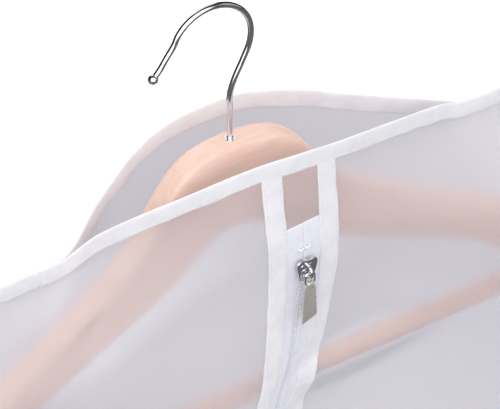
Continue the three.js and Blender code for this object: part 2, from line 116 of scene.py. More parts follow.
def mesh_object(name: str, points: np.ndarray, faces: Iterable[Sequence[int]]) -> bpy.types.Object:
    """Makes a smooth-shaded mesh object and links it to the scene.

    Args:
        name: the piece's name.
        points: its corners, one row each, in metres.
        faces: the corner numbers of each face.

    Returns:
        The new object.
    """
    mesh = bpy.data.meshes.new(name)
    mesh.from_pydata([tuple(p) for p in points], [], [tuple(f) for f in faces])
    mesh.validate()
    mesh.polygons.foreach_set("use_smooth", [True] * len(mesh.polygons))
    mesh.update()
    return linked(name, mesh)


def recalculate(piece: bpy.types.Object) -> bpy.types.Object:
    """Merges a piece's doubled points and turns its faces outward.

    Args:
        piece: a closed piece.

    Returns:
        The same piece.
    """
    work = bmesh.new()
    work.from_mesh(piece.data)
    bmesh.ops.remove_doubles(work, verts=work.verts, dist=SAME_PLACE)
    bmesh.ops.recalc_face_normals(work, faces=work.faces)
    work.to_mesh(piece.data)
    work.free()
    return piece


def shell_from_grids(name: str, outer: np.ndarray, inner: np.ndarray) -> bpy.types.Object:
    """Makes a thin closed sheet from two grids of points that face each other.

    Args:
        name: the piece's name.
        outer: points of one face, rows by columns by 3.
        inner: points of the other face, in the same order.

    Returns:
        The new closed object.
    """
    rows, columns = outer.shape[:2]
    points = np.concatenate([outer.reshape(-1, 3), inner.reshape(-1, 3)])
    back = rows * columns
    number = np.arange(back).reshape(rows, columns)
    a, b, c, d = number[:-1, :-1], number[:-1, 1:], number[1:, 1:], number[1:, :-1]
    faces = list(np.stack([a, d, c, b], -1).reshape(-1, 4))
    faces += list(np.stack([a, b, c, d], -1).reshape(-1, 4) + back)
    rim = list(number[0, :]) + list(number[1:, -1]) + list(number[-1, -2::-1]) + list(number[-2:0:-1, 0])
    faces += [(i, j, j + back, i + back) for i, j in zip(rim, rim[1:] + rim[:1])]
    return recalculate(mesh_object(name, points, faces))


def ring_faces(rings: int, sides: int, first: int = 0, closed: bool = False) -> list[tuple[int, ...]]:
    """Skins rings of points, and caps both ends where they don't join up.

    Args:
        rings: how many rings there are.
        sides: how many points each ring has.
        first: the number of the first ring's first point.
        closed: whether the last ring joins the first.

    Returns:
        The corner numbers of each face.
    """
    faces: list[tuple[int, ...]] = []
    for r in range(rings if closed else rings - 1):
        here, after = first + r * sides, first + (r + 1) % rings * sides
        faces += [(here + i, here + (i + 1) % sides, after + (i + 1) % sides, after + i)
                  for i in range(sides)]
    if not closed:
        last = first + (rings - 1) * sides
        faces += [tuple(range(first, first + sides)), tuple(range(last, last + sides))]
    return faces


def tube(name: str, path: Sequence[Vector], radius: float | Sequence[float], sides: int = 16,
         closed: bool = False) -> bpy.types.Object:
    """Sweeps a round section along a path.

    Args:
        name: the piece's name.
        path: the points that the tube's middle follows.
        radius: its radius, or one radius for each point.
        sides: corners round the section.
        closed: whether the path joins its own start.

    Returns:
        The new object, closed with flat caps where the path is open.
    """
    count = len(path)
    radii = [radius] * count if isinstance(radius, (int, float)) else list(radius)
    rings = []
    normal = None
    for i, point in enumerate(path):
        before = path[i - 1] if i or closed else path[0]
        after = path[(i + 1) % count] if i + 1 < count or closed else path[-1]
        along = (after - before).normalized()
        if normal is None:
            normal = along.orthogonal().normalized()
            if abs(along.y) < 0.9:
                normal = (Vector((0, 1, 0)) - along * along.y).normalized()
        normal = (normal - along * normal.dot(along)).normalized()
        across = along.cross(normal)
        rings.append([point + (normal * math.cos(t) + across * math.sin(t)) * radii[i]
                      for t in np.linspace(0, FULL_TURN, sides, endpoint=False)])
    return loft(name, rings, closed)


def loft(name: str, rings: Sequence[Sequence[Vector]], closed: bool = False) -> bpy.types.Object:
    """Skins rings of points that all have the same count.

    Args:
        name: the piece's name.
        rings: the rings of points, in order.
        closed: whether the last ring joins the first.

    Returns:
        The new object, with both ends capped where its rings don't join up.
    """
    points = np.array([p for ring in rings for p in ring])
    return recalculate(mesh_object(name, points, ring_faces(len(rings), len(rings[0]), closed=closed)))


def plate(name: str, outline: Sequence[Corner], front: float, back: float, bevel: float) -> bpy.types.Object:
    """Extrudes an outline in X and Z between two places along Y, and rounds its edges.

    Args:
        name: the piece's name.
        outline: (x, z) corners.
        front: the front face's y.
        back: the back face's y.
        bevel: how far its edges are rounded.

    Returns:
        The new object.
    """
    work = bmesh.new()
    verts = [work.verts.new((x, front, z)) for x, z in outline]
    edges = [work.edges.new((a, b)) for a, b in zip(verts, verts[1:] + verts[:1])]
    made = bmesh.ops.triangle_fill(work, edges=edges, use_beauty=True, use_dissolve=True)
    faces = [g for g in made["geom"] if isinstance(g, bmesh.types.BMFace)]
    pushed = bmesh.ops.extrude_face_region(work, geom=faces)
    bmesh.ops.translate(work, vec=(0, back - front, 0),
                        verts=[g for g in pushed["geom"] if isinstance(g, bmesh.types.BMVert)])
    bmesh.ops.recalc_face_normals(work, faces=work.faces)
    mesh = bpy.data.meshes.new(name)
    work.to_mesh(mesh)
    work.free()
    piece = linked(name, mesh)
    soften(piece, bevel)
    return piece


def rounded(corners: Sequence[Corner], radius: float, steps: int = 5) -> list[Corner]:
    """Rounds the corners of an outline.

    Args:
        corners: the outline's sharp corners.
        radius: how far back from each corner its curve starts.
        steps: points on each curve, less one.

    Returns:
        The rounded outline.
    """
    made = []
    count = len(corners)
    most = 0.45  # of a side, so that the curves at its two ends never meet
    for i, corner in enumerate(corners):
        here = Vector(corner)
        before, after = Vector(corners[i - 1]), Vector(corners[(i + 1) % count])
        back = min(radius, (before - here).length * most)
        on = min(radius, (after - here).length * most)
        start, end = here + (before - here).normalized() * back, here + (after - here).normalized() * on
        for k in range(steps + 1):
            t = k / steps
            made.append(tuple(start * (1 - t) ** 2 + here * 2 * t * (1 - t) + end * t ** 2))
    return made


def shade_between(piece: bpy.types.Object, angle: float) -> None:
    """Shades a piece smooth, apart from edges sharper than an angle in degrees."""
    piece.data.polygons.foreach_set("use_smooth", [True] * len(piece.data.polygons))
    piece.data.set_sharp_from_angle(angle=math.radians(angle))


def soften(piece: bpy.types.Object, bevel: float, segments: int = 3, angle: float = 35) -> None:
    """Rounds a piece's sharp edges, and shades it smooth between them.

    Args:
        piece: the piece.
        bevel: how far its edges are rounded.
        segments: the steps of each rounded edge.
        angle: the angle in degrees above which an edge is rounded.
    """
    rounding = piece.modifiers.new("rounded edges", "BEVEL")
    rounding.width, rounding.segments = bevel, segments
    rounding.limit_method, rounding.angle_limit = "ANGLE", math.radians(angle)
    rounding.harden_normals = False
    apply_modifiers(piece)
    shade_between(piece, 45)


def apply_modifiers(piece: bpy.types.Object) -> None:
    """Puts what a piece's modifiers make into its own mesh.

    Args:
        piece: the piece, which is left with no modifiers.
    """
    graph = bpy.context.evaluated_depsgraph_get()
    made = bpy.data.meshes.new_from_object(piece.evaluated_get(graph))
    piece.modifiers.clear()
    piece.data = made


def joined(name: str, pieces: Sequence[bpy.types.Object]) -> bpy.types.Object:
    """Puts several meshes into one object.

    Args:
        name: the new piece's name.
        pieces: the objects whose meshes it takes; they are removed.

    Returns:
        The new object.
    """
    work = bmesh.new()
    for piece in pieces:
        work.from_mesh(piece.data)
    mesh = bpy.data.meshes.new(name)
    work.to_mesh(mesh)
    work.free()
    for piece in pieces:
        bpy.data.objects.remove(piece)
    return linked(name, mesh)


def catmull(points: Sequence[Vector], steps: int) -> list[Vector]:
    """A smooth path through points, evenly spaced along its length.

    Args:
        points: the points that it passes through.
        steps: how many points to return.

    Returns:
        The path's points.
    """
    known = [points[0] * 2 - points[1], *points, points[-1] * 2 - points[-2]]
    fine: list[Vector] = []
    for p0, p1, p2, p3 in zip(known, known[1:], known[2:], known[3:]):
        knots = [0.0]
        for a, b in ((p0, p1), (p1, p2), (p2, p3)):
            knots.append(knots[-1] + max((b - a).length, NEARLY_NONE) ** 0.5)
        t0, t1, t2, t3 = knots
        for t in np.linspace(t1, t2, FINE_STEPS, endpoint=False):
            a1 = p0 * ((t1 - t) / (t1 - t0)) + p1 * ((t - t0) / (t1 - t0))
            a2 = p1 * ((t2 - t) / (t2 - t1)) + p2 * ((t - t1) / (t2 - t1))
            a3 = p2 * ((t3 - t) / (t3 - t2)) + p3 * ((t - t2) / (t3 - t2))
            b1 = a1 * ((t2 - t) / (t2 - t0)) + a2 * ((t - t0) / (t2 - t0))
            b2 = a2 * ((t3 - t) / (t3 - t1)) + a3 * ((t - t1) / (t3 - t1))
            fine.append(b1 * ((t2 - t) / (t2 - t1)) + b2 * ((t - t1) / (t2 - t1)))
    fine.append(points[-1].copy())
    return spaced(fine, steps)


def spaced(path: Sequence[Vector], steps: int) -> list[Vector]:
    """Spaces a path's points evenly.

    Args:
        path: the path's points.
        steps: how many points to return.

    Returns:
        The same path with evenly spaced points.
    """
    places = np.array(path)
    length = np.concatenate([[0], np.cumsum(np.linalg.norm(np.diff(places, axis=0), axis=1))])
    wanted = np.linspace(0, length[-1], steps)
    return [Vector(tuple(np.interp(w, length, places[:, k]) for k in range(3))) for w in wanted]


def smooth_step(value: np.ndarray | float) -> np.ndarray:
    """Rises smoothly from 0 to 1 as the value goes from 0 to 1."""
    t = np.clip(value, 0, 1)
    return t * t * (3 - 2 * t)


def curve_through(knots: Sequence[Sequence[float]], column: int, value: np.ndarray | float) -> np.ndarray:
    """Reads a smooth curve through knots.

    Args:
        knots: rows of numbers; the first of each row is where it applies, in rising order.
        column: which number of each row is read.
        value: where the curve is read.

    Returns:
        The curve's height at each place; beyond its ends it keeps its end height.
    """
    at = np.array([row[0] for row in knots], float)
    height = np.array([row[column] for row in knots], float)
    slope = np.zeros(len(at))
    slope[1:-1] = (height[2:] - height[:-2]) / (at[2:] - at[:-2])
    place = np.clip(np.asarray(value, float), at[0], at[-1])
    i = np.clip(np.searchsorted(at, place, side="right") - 1, 0, len(at) - 2)
    width = at[i + 1] - at[i]
    t = (place - at[i]) / width
    return ((2 * t ** 3 - 3 * t ** 2 + 1) * height[i] + (t ** 3 - 2 * t ** 2 + t) * width * slope[i]
            + (3 * t ** 2 - 2 * t ** 3) * height[i + 1] + (t ** 3 - t ** 2) * width * slope[i + 1])


def bump(value: np.ndarray | float, width: float) -> np.ndarray:
    """A bell of height 1 about 0."""
    return np.exp(-(np.asarray(value) / width) ** 2)


# -------------------------------------------------------------------------------- node helpers
class Nodes:
    """Builds a node tree with short calls."""

    def __init__(self, tree: bpy.types.NodeTree) -> None:
        """Keeps the tree that the calls add to."""
        self.tree = tree

    def add(self, kind: str, settings: dict | None = None, **inputs: object) -> bpy.types.Node:
        """Adds a node, sets its properties, and sets or links its inputs.

        Args:
            kind: the node's type without its "ShaderNode" start.
            settings: properties of the node itself.
            inputs: input values or output sockets; an underscore stands for a space.

        Returns:
            The new node.
        """
        node = self.tree.nodes.new("ShaderNode" + kind)
        for key, value in (settings or {}).items():
            setattr(node, key, value)
        for key, value in inputs.items():
            self.feed(node, key.replace("_", " "), value)
        return node

    def feed(self, node: bpy.types.Node, name: str | int, value: object) -> None:
        """Links or sets one input of a node."""
        socket = node.inputs[name]
        if isinstance(value, bpy.types.NodeSocket):
            self.tree.links.new(value, socket)
        else:
            socket.default_value = value

    def math(self, operation: str, *values: object, clamp: bool = False) -> bpy.types.NodeSocket:
        """Adds a Math node.

        Args:
            operation: what it works out.
            values: its numbers or output sockets, in order.
            clamp: whether its result is kept between 0 and 1.

        Returns:
            Its result.
        """
        node = self.tree.nodes.new("ShaderNodeMath")
        node.operation, node.use_clamp = operation, clamp
        for i, value in enumerate(values):
            self.feed(node, i, value)
        return node.outputs[0]

    def spread(self, value: object, low: float, high: float, to_low: float = 0.0,
               to_high: float = 1.0) -> bpy.types.NodeSocket:
        """Maps a range of values to another with a smooth step.

        Args:
            value: the number or output socket to map.
            low: the value that becomes to_low.
            high: the value that becomes to_high.
            to_low: the result at and below low.
            to_high: the result at and above high.

        Returns:
            The mapped value.
        """
        node = self.add("MapRange", {"interpolation_type": "SMOOTHSTEP"}, Value=value)
        for name, number in (("From Min", low), ("From Max", high), ("To Min", to_low), ("To Max", to_high)):
            node.inputs[name].default_value = number
        return node.outputs["Result"]

    def stretched(self, place: bpy.types.NodeSocket, scale: Point) -> bpy.types.NodeSocket:
        """Scales a place by a different amount along each axis.

        Args:
            place: the place.
            scale: its scale along X, Y and Z.

        Returns:
            The scaled place.
        """
        node = self.add("Mapping", Vector=place)
        node.inputs["Scale"].default_value = scale
        return node.outputs["Vector"]

    def mix(self, factor: object, first: object, second: object) -> bpy.types.NodeSocket:
        """Mixes two colours.

        Args:
            factor: the second colour's share.
            first: the first colour.
            second: the second colour.

        Returns:
            The mixed colour.
        """
        node = self.add("Mix", {"data_type": "RGBA"})
        self.feed(node, 0, factor)
        self.feed(node, 6, first)
        self.feed(node, 7, second)
        return node.outputs[2]


def group(name: str, inputs: dict[str, float | tuple], outputs: dict[str, str],
          fill: Callable[[Nodes, bpy.types.Node, bpy.types.Node], None]) -> bpy.types.NodeTree:
    """Makes a shader node group once.

    Args:
        name: the group's name.
        inputs: each input's name and its usual value, a number or a colour.
        outputs: each output's name and whether it is a "Float", "Color" or "Vector".
        fill: builds the inside from the tree's helper, its input node and its output node.

    Returns:
        The group's tree.
    """
    if name in bpy.data.node_groups:
        return bpy.data.node_groups[name]
    tree = bpy.data.node_groups.new(name, "ShaderNodeTree")
    for title, value in inputs.items():
        kind = "NodeSocketColor" if isinstance(value, tuple) else "NodeSocketFloat"
        tree.interface.new_socket(title, in_out="INPUT", socket_type=kind).default_value = value
    for title, kind in outputs.items():
        tree.interface.new_socket(title, in_out="OUTPUT", socket_type="NodeSocket" + kind)
    source, sink = tree.nodes.new("NodeGroupInput"), tree.nodes.new("NodeGroupOutput")
    fill(Nodes(tree), source, sink)
    return tree


def placed(nodes: Nodes, tree: bpy.types.NodeTree, **inputs: object) -> bpy.types.Node:
    """Places a group in a material with its own values.

    Args:
        nodes: the material's node helper.
        tree: the group's tree.
        inputs: input values or output sockets; an underscore stands for a space.

    Returns:
        The group's node.
    """
    node = nodes.add("Group")
    node.node_tree = tree
    for key, value in inputs.items():
        nodes.feed(node, key.replace("_", " "), value)
    return node


def colour(red: float, green: float, blue: float) -> tuple[float, float, float, float]:
    """A colour from its linear parts."""
    return (red, green, blue, 1.0)


def mottle_group() -> bpy.types.NodeTree:
    """Soft variation between two colours, with a matching value for roughness.

    Returns:
        The group's tree.
    """
    def fill(n: Nodes, source: bpy.types.Node, sink: bpy.types.Node) -> None:
        place = n.add("TexCoord").outputs["Object"]
        noise = n.add("TexNoise", Vector=place, Scale=source.outputs["Scale"], Detail=4.0, Roughness=0.6)
        share = n.spread(noise.outputs["Fac"], 0.3, 0.7)
        n.feed(sink, "Colour", n.mix(share, source.outputs["First"], source.outputs["Second"]))
        span = n.math("SUBTRACT", source.outputs["High"], source.outputs["Low"])
        value = n.math("MULTIPLY_ADD", share, span, source.outputs["Low"])
        n.feed(sink, "Value", value)
    return group("mottle", {"First": colour(1, 1, 1), "Second": colour(1, 1, 1), "Scale": 60.0, "Low": 0.3,
                            "High": 0.5}, {"Colour": "Color", "Value": "Float"}, fill)


def fibre_group() -> bpy.types.NodeTree:
    """Pressed fibres with a fine grid of bonding dimples, as a height, and as a painted shade that is lighter
    where they stand high.

    Returns:
        The group's tree.
    """
    def fill(n: Nodes, source: bpy.types.Node, sink: bpy.types.Node) -> None:
        place = n.add("TexCoord").outputs["Object"]
        fibres = n.add("TexNoise", Vector=place, Scale=source.outputs["Fibre Scale"], Detail=3.0,
                       Distortion=2.5)
        cells = n.add("TexVoronoi", {"feature": "F1"}, Vector=place, Scale=source.outputs["Dimple Scale"])
        cells.inputs["Randomness"].default_value = 0.25
        dimple = n.spread(cells.outputs["Distance"], 0.12, 0.34)
        n.feed(sink, "Height", n.math("ADD", n.math("MULTIPLY", fibres.outputs["Fac"], 0.6), dimple))
        # The Shade output is painted shade: it is high where the fibres and the rims of the dimples stand up,
        # and low in the pressed dimples.
        half_fibre = n.math("MULTIPLY", fibres.outputs["Fac"], 0.5)
        n.feed(sink, "Shade", n.math("MULTIPLY_ADD", dimple, 0.5, half_fibre))
    return group("pressed fibre", {"Fibre Scale": 1800.0, "Dimple Scale": 900.0},
                 {"Height": "Float", "Shade": "Float"}, fill)


def weave_group() -> bpy.types.NodeTree:
    """A plain weave of threads across and along, as a height.

    Returns:
        The group's tree.
    """
    def fill(n: Nodes, source: bpy.types.Node, sink: bpy.types.Node) -> None:
        place = n.add("SeparateXYZ", Vector=n.add("TexCoord").outputs["Object"])
        turn = n.math("DIVIDE", FULL_TURN, source.outputs["Pitch"])
        across = n.math("SINE", n.math("MULTIPLY", place.outputs["X"], turn))
        along = n.math("SINE", n.math("MULTIPLY", place.outputs["Z"], turn))
        over = n.math("MULTIPLY", across, along)
        n.feed(sink, "Height", n.math("MULTIPLY_ADD", over, 0.5, 0.5))
    return group("weave", {"Pitch": 0.6 * MM}, {"Height": "Float"}, fill)


def grain_group() -> bpy.types.NodeTree:
    """Long wood grain along X with fine pores and flecks.

    Returns:
        The group's tree.
    """
    def fill(n: Nodes, source: bpy.types.Node, sink: bpy.types.Node) -> None:
        place = n.add("TexCoord").outputs["Object"]
        slow = n.stretched(place, (5, 40, 40))
        rings = n.add("TexNoise", Vector=slow, Scale=4.0, Detail=3.0, Distortion=1.2)
        pores = n.add("TexNoise", Vector=n.stretched(place, (60, 900, 900)), Scale=1.0, Detail=4.0)
        cells = n.add("TexVoronoi", Vector=n.stretched(place, (160, 700, 700)), Scale=1.0)
        fleck = n.spread(cells.outputs["Distance"], 0.12, 0.2, 1.0, 0.0)
        band = n.spread(rings.outputs["Fac"], 0.35, 0.65)
        tone = n.mix(band, source.outputs["Pale"], source.outputs["Deep"])
        tone = n.mix(n.spread(pores.outputs["Fac"], 0.45, 0.75, 0.0, 0.3), tone, source.outputs["Dark"])
        tone = n.mix(n.math("MULTIPLY", fleck, 0.16), tone, source.outputs["Dark"])
        n.feed(sink, "Colour", tone)
        n.feed(sink, "Height", pores.outputs["Fac"])
        n.feed(sink, "Roughness", n.spread(pores.outputs["Fac"], 0.3, 0.8, 0.3, 0.46))
    return group("wood grain", {"Pale": colour(1, 1, 1), "Deep": colour(1, 1, 1), "Dark": colour(0, 0, 0)},
                 {"Colour": "Color", "Height": "Float", "Roughness": "Float"}, fill)


def new_material(name: str) -> tuple[bpy.types.Material, Nodes, bpy.types.Node]:
    """Makes a material that has only its Principled shader.

    Args:
        name: the material's name.

    Returns:
        The material, its node helper and the shader node.
    """
    material = bpy.data.materials.new(name)
    material.use_nodes = True
    shader = material.node_tree.nodes["Principled BSDF"]
    return material, Nodes(material.node_tree), shader


def add_bump(n: Nodes, shader: bpy.types.Node, height: bpy.types.NodeSocket, strength: float,
             distance: float) -> None:
    """Feeds a height to a shader's normal.

    Args:
        n: the material's node helper.
        shader: the shader.
        height: the height, from 0 to 1.
        strength: how strongly it shows.
        distance: how far apart heights 0 and 1 are.
    """
    node = n.add("Bump", Height=height, Strength=strength, Distance=distance)
    n.feed(shader, "Normal", node.outputs["Normal"])


def feed_tone(n: Nodes, shader: bpy.types.Node, tone: bpy.types.Node, shade: object = None) -> None:
    """Feeds a mottle to a shader's colour and roughness.

    Args:
        n: the material's node helper.
        shader: the shader.
        tone: the placed mottle group.
        shade: a colour that takes the place of the mottle's own.
    """
    n.feed(shader, "Base Color", shade or tone.outputs["Colour"])
    n.feed(shader, "Roughness", tone.outputs["Value"])


# -------------------------------------------------------------------------------- finishes
@dataclass(frozen=True)
class FilmFinish:
    """Frosted film: light passes through it and spreads, and some comes back as a milky white."""

    first: tuple = colour(0.97, 0.955, 0.975)
    second: tuple = colour(0.94, 0.93, 0.955)
    through: float = 0.875
    # Below about 0.274 the film shows what is behind it too sharply, and its noise no longer smooths out.
    rough: tuple[float, float] = (0.29, 0.35)
    index: float = 1.3
    lamp_tint: tuple = colour(0.98, 0.98, 0.98)

    def material(self) -> bpy.types.Material:
        """Builds the film's material."""
        material, n, shader = new_material("frosted film")
        tone = placed(n, mottle_group(), First=self.first, Second=self.second, Scale=14.0, Low=self.rough[0],
                      High=self.rough[1])
        feed_tone(n, shader, tone)
        shader.inputs["IOR"].default_value = self.index
        shader.inputs["Transmission Weight"].default_value = self.through
        fine = n.add("TexNoise", Vector=n.add("TexCoord").outputs["Object"], Scale=320.0, Detail=3.0)
        add_bump(n, shader, fine.outputs["Fac"], 0.12, 0.1 * MM)
        open_way = n.add("BsdfTransparent", Color=self.lamp_tint)
        choice = n.add("MixShader", Fac=n.add("LightPath").outputs["Is Shadow Ray"])
        n.feed(choice, 1, shader.outputs["BSDF"])
        n.feed(choice, 2, open_way.outputs["BSDF"])
        n.feed(material.node_tree.nodes["Material Output"], "Surface", choice.outputs["Shader"])
        return material


@dataclass(frozen=True)
class EdgingFinish:
    """White non-woven edging, slightly cool, with pressed fibres and painted shade in their hollows."""

    name: str = "white edging"
    first: tuple = colour(0.955, 0.94, 0.965)
    second: tuple = colour(0.86, 0.85, 0.89)

    def material(self) -> bpy.types.Material:
        """Builds the edging's material."""
        material, n, shader = new_material(self.name)
        fibre = placed(n, fibre_group())
        tone = placed(n, mottle_group(), First=self.first, Second=self.second, Scale=90.0, Low=0.62, High=0.8)
        # Painted shade: the fibres' relief also lightens the colour, so the pressed dimples and low fibres
        # look shaded.
        shade = n.mix(n.math("MULTIPLY", fibre.outputs["Shade"], 0.12), tone.outputs["Colour"],
                      colour(0.97, 0.97, 1.0))
        feed_tone(n, shader, tone, shade)
        shader.inputs["Sheen Weight"].default_value = 0.15
        shader.inputs["Transmission Weight"].default_value = 0.06
        add_bump(n, shader, fibre.outputs["Height"], 0.35, 0.12 * MM)
        return material


@dataclass(frozen=True)
class TapeFinish:
    """Woven polyester tape, with painted shade in the hollows of its weave."""

    first: tuple = colour(0.88, 0.88, 0.95)
    second: tuple = colour(0.82, 0.82, 0.90)

    def material(self) -> bpy.types.Material:
        """Builds the tape's material."""
        material, n, shader = new_material("woven tape")
        weave = placed(n, weave_group(), Pitch=0.7 * MM)
        tone = placed(n, mottle_group(), First=self.first, Second=self.second, Scale=120.0, Low=0.6,
                      High=0.78)
        # Painted shade: the weave's height also lightens the colour, so the threads look lit where they rise
        # and shaded in the hollows between them.
        shade = n.mix(n.math("MULTIPLY", weave.outputs["Height"], 0.2), tone.outputs["Colour"],
                      colour(0.9, 0.9, 0.96))
        feed_tone(n, shader, tone, shade)
        shader.inputs["Sheen Weight"].default_value = 0.2
        add_bump(n, shader, weave.outputs["Height"], 0.5, 0.1 * MM)
        return material


@dataclass(frozen=True)
class NylonFinish:
    """Pale nylon: the zip's coil, and the sewing thread."""

    name: str
    first: tuple
    second: tuple
    rough: tuple[float, float] = (0.28, 0.42)

    def material(self) -> bpy.types.Material:
        """Builds the nylon's material."""
        material, n, shader = new_material(self.name)
        tone = placed(n, mottle_group(), First=self.first, Second=self.second, Scale=700.0, Low=self.rough[0],
                      High=self.rough[1])
        feed_tone(n, shader, tone)
        return material


@dataclass(frozen=True)
class WoodFinish:
    """Pale steamed beech under a clear satin varnish."""

    pale: tuple = colour(0.89, 0.64, 0.54)
    deep: tuple = colour(0.86, 0.60, 0.49)
    dark: tuple = colour(0.74, 0.46, 0.35)

    def material(self) -> bpy.types.Material:
        """Builds the wood's material."""
        material, n, shader = new_material("varnished beech")
        grain = placed(n, grain_group(), Pale=self.pale, Deep=self.deep, Dark=self.dark)
        n.feed(shader, "Base Color", grain.outputs["Colour"])
        n.feed(shader, "Roughness", grain.outputs["Roughness"])
        shader.inputs["Coat Weight"].default_value = 0.12
        shader.inputs["Coat Roughness"].default_value = 0.22
        add_bump(n, shader, grain.outputs["Height"], 0.15, 0.05 * MM)
        return material


@dataclass(frozen=True)
class MetalFinish:
    """Plated metal with faint handling marks."""

    name: str
    first: tuple
    second: tuple
    rough: tuple[float, float]
    brushed: bool = False
    metallic: float = 1.0

    def material(self) -> bpy.types.Material:
        """Builds the metal's material."""
        material, n, shader = new_material(self.name)
        tone = placed(n, mottle_group(), First=self.first, Second=self.second, Scale=260.0, Low=self.rough[0],
                      High=self.rough[1])
        feed_tone(n, shader, tone)
        shader.inputs["Metallic"].default_value = self.metallic
        if self.brushed:
            stretch = n.stretched(n.add("TexCoord").outputs["Object"], (9000, 9000, 400))
            lines = n.add("TexNoise", Vector=stretch, Scale=1.0, Detail=2.0)
            add_bump(n, shader, lines.outputs["Fac"], 0.25, 0.02 * MM)
        return material


class Palette:
    """Every material of the object, built once."""

    def __init__(self) -> None:
        """Builds the materials."""
        self.film = FilmFinish().material()
        self.edging = EdgingFinish().material()
        self.tape = TapeFinish().material()
        self.coil = NylonFinish("zip coil", colour(0.9, 0.9, 0.95), colour(0.84, 0.84, 0.9)).material()
        self.thread = NylonFinish("sewing thread", colour(0.88, 0.88, 0.94), colour(0.8, 0.8, 0.88),
                                  (0.5, 0.65)).material()
        self.wood = WoodFinish().material()
        self.chrome = MetalFinish("bright chrome", colour(0.86, 0.86, 0.88), colour(0.78, 0.78, 0.81),
                                  (0.05, 0.1)).material()
        self.satin = MetalFinish("satin nickel", colour(0.70, 0.67, 0.61), colour(0.64, 0.60, 0.55),
                                 (0.26, 0.36), brushed=True, metallic=0.55).material()


@dataclass
class Kit:
    """What every sub-assembly needs: the palette, the CAD nodes and the record of what was made."""

    palette: Palette
    nodes: dict[str, bpy.types.Object]
    made: list[str] = field(default_factory=list)

    def finish(self, piece: bpy.types.Object, material: bpy.types.Material, slot: str, body: str,
               *nodes: str) -> bpy.types.Object:
        """Dresses a piece, and says what it rides on and which CAD nodes it stands for.

        Args:
            piece: the piece, in place.
            material: its material.
            slot: the record's material slot, which is not used.
            body: the CAD body that it moves with.
            nodes: CAD nodes that it replaces.

        Returns:
            The same piece.
        """
        piece.data.materials.clear()
        piece.data.materials.append(material)
        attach(piece, body)
        if nodes:
            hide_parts(*nodes)
        self.made.append(piece.name)
        size = np.ptp([v.co for v in piece.data.vertices], axis=0)
        log.info("%s: %d faces, %s mm", piece.name, len(piece.data.polygons), np.round(size / MM, 1))
        return piece

    def carry(self, node: str, material: bpy.types.Material) -> None:
        """Gives a carried-over CAD node its material.

        Args:
            node: the CAD node's name.
            material: its material.
        """
        piece = self.nodes[node]
        piece.data.materials.clear()
        piece.data.materials.append(material)
        shade_between(piece, 40)
        log.info("%s: carried over", node)


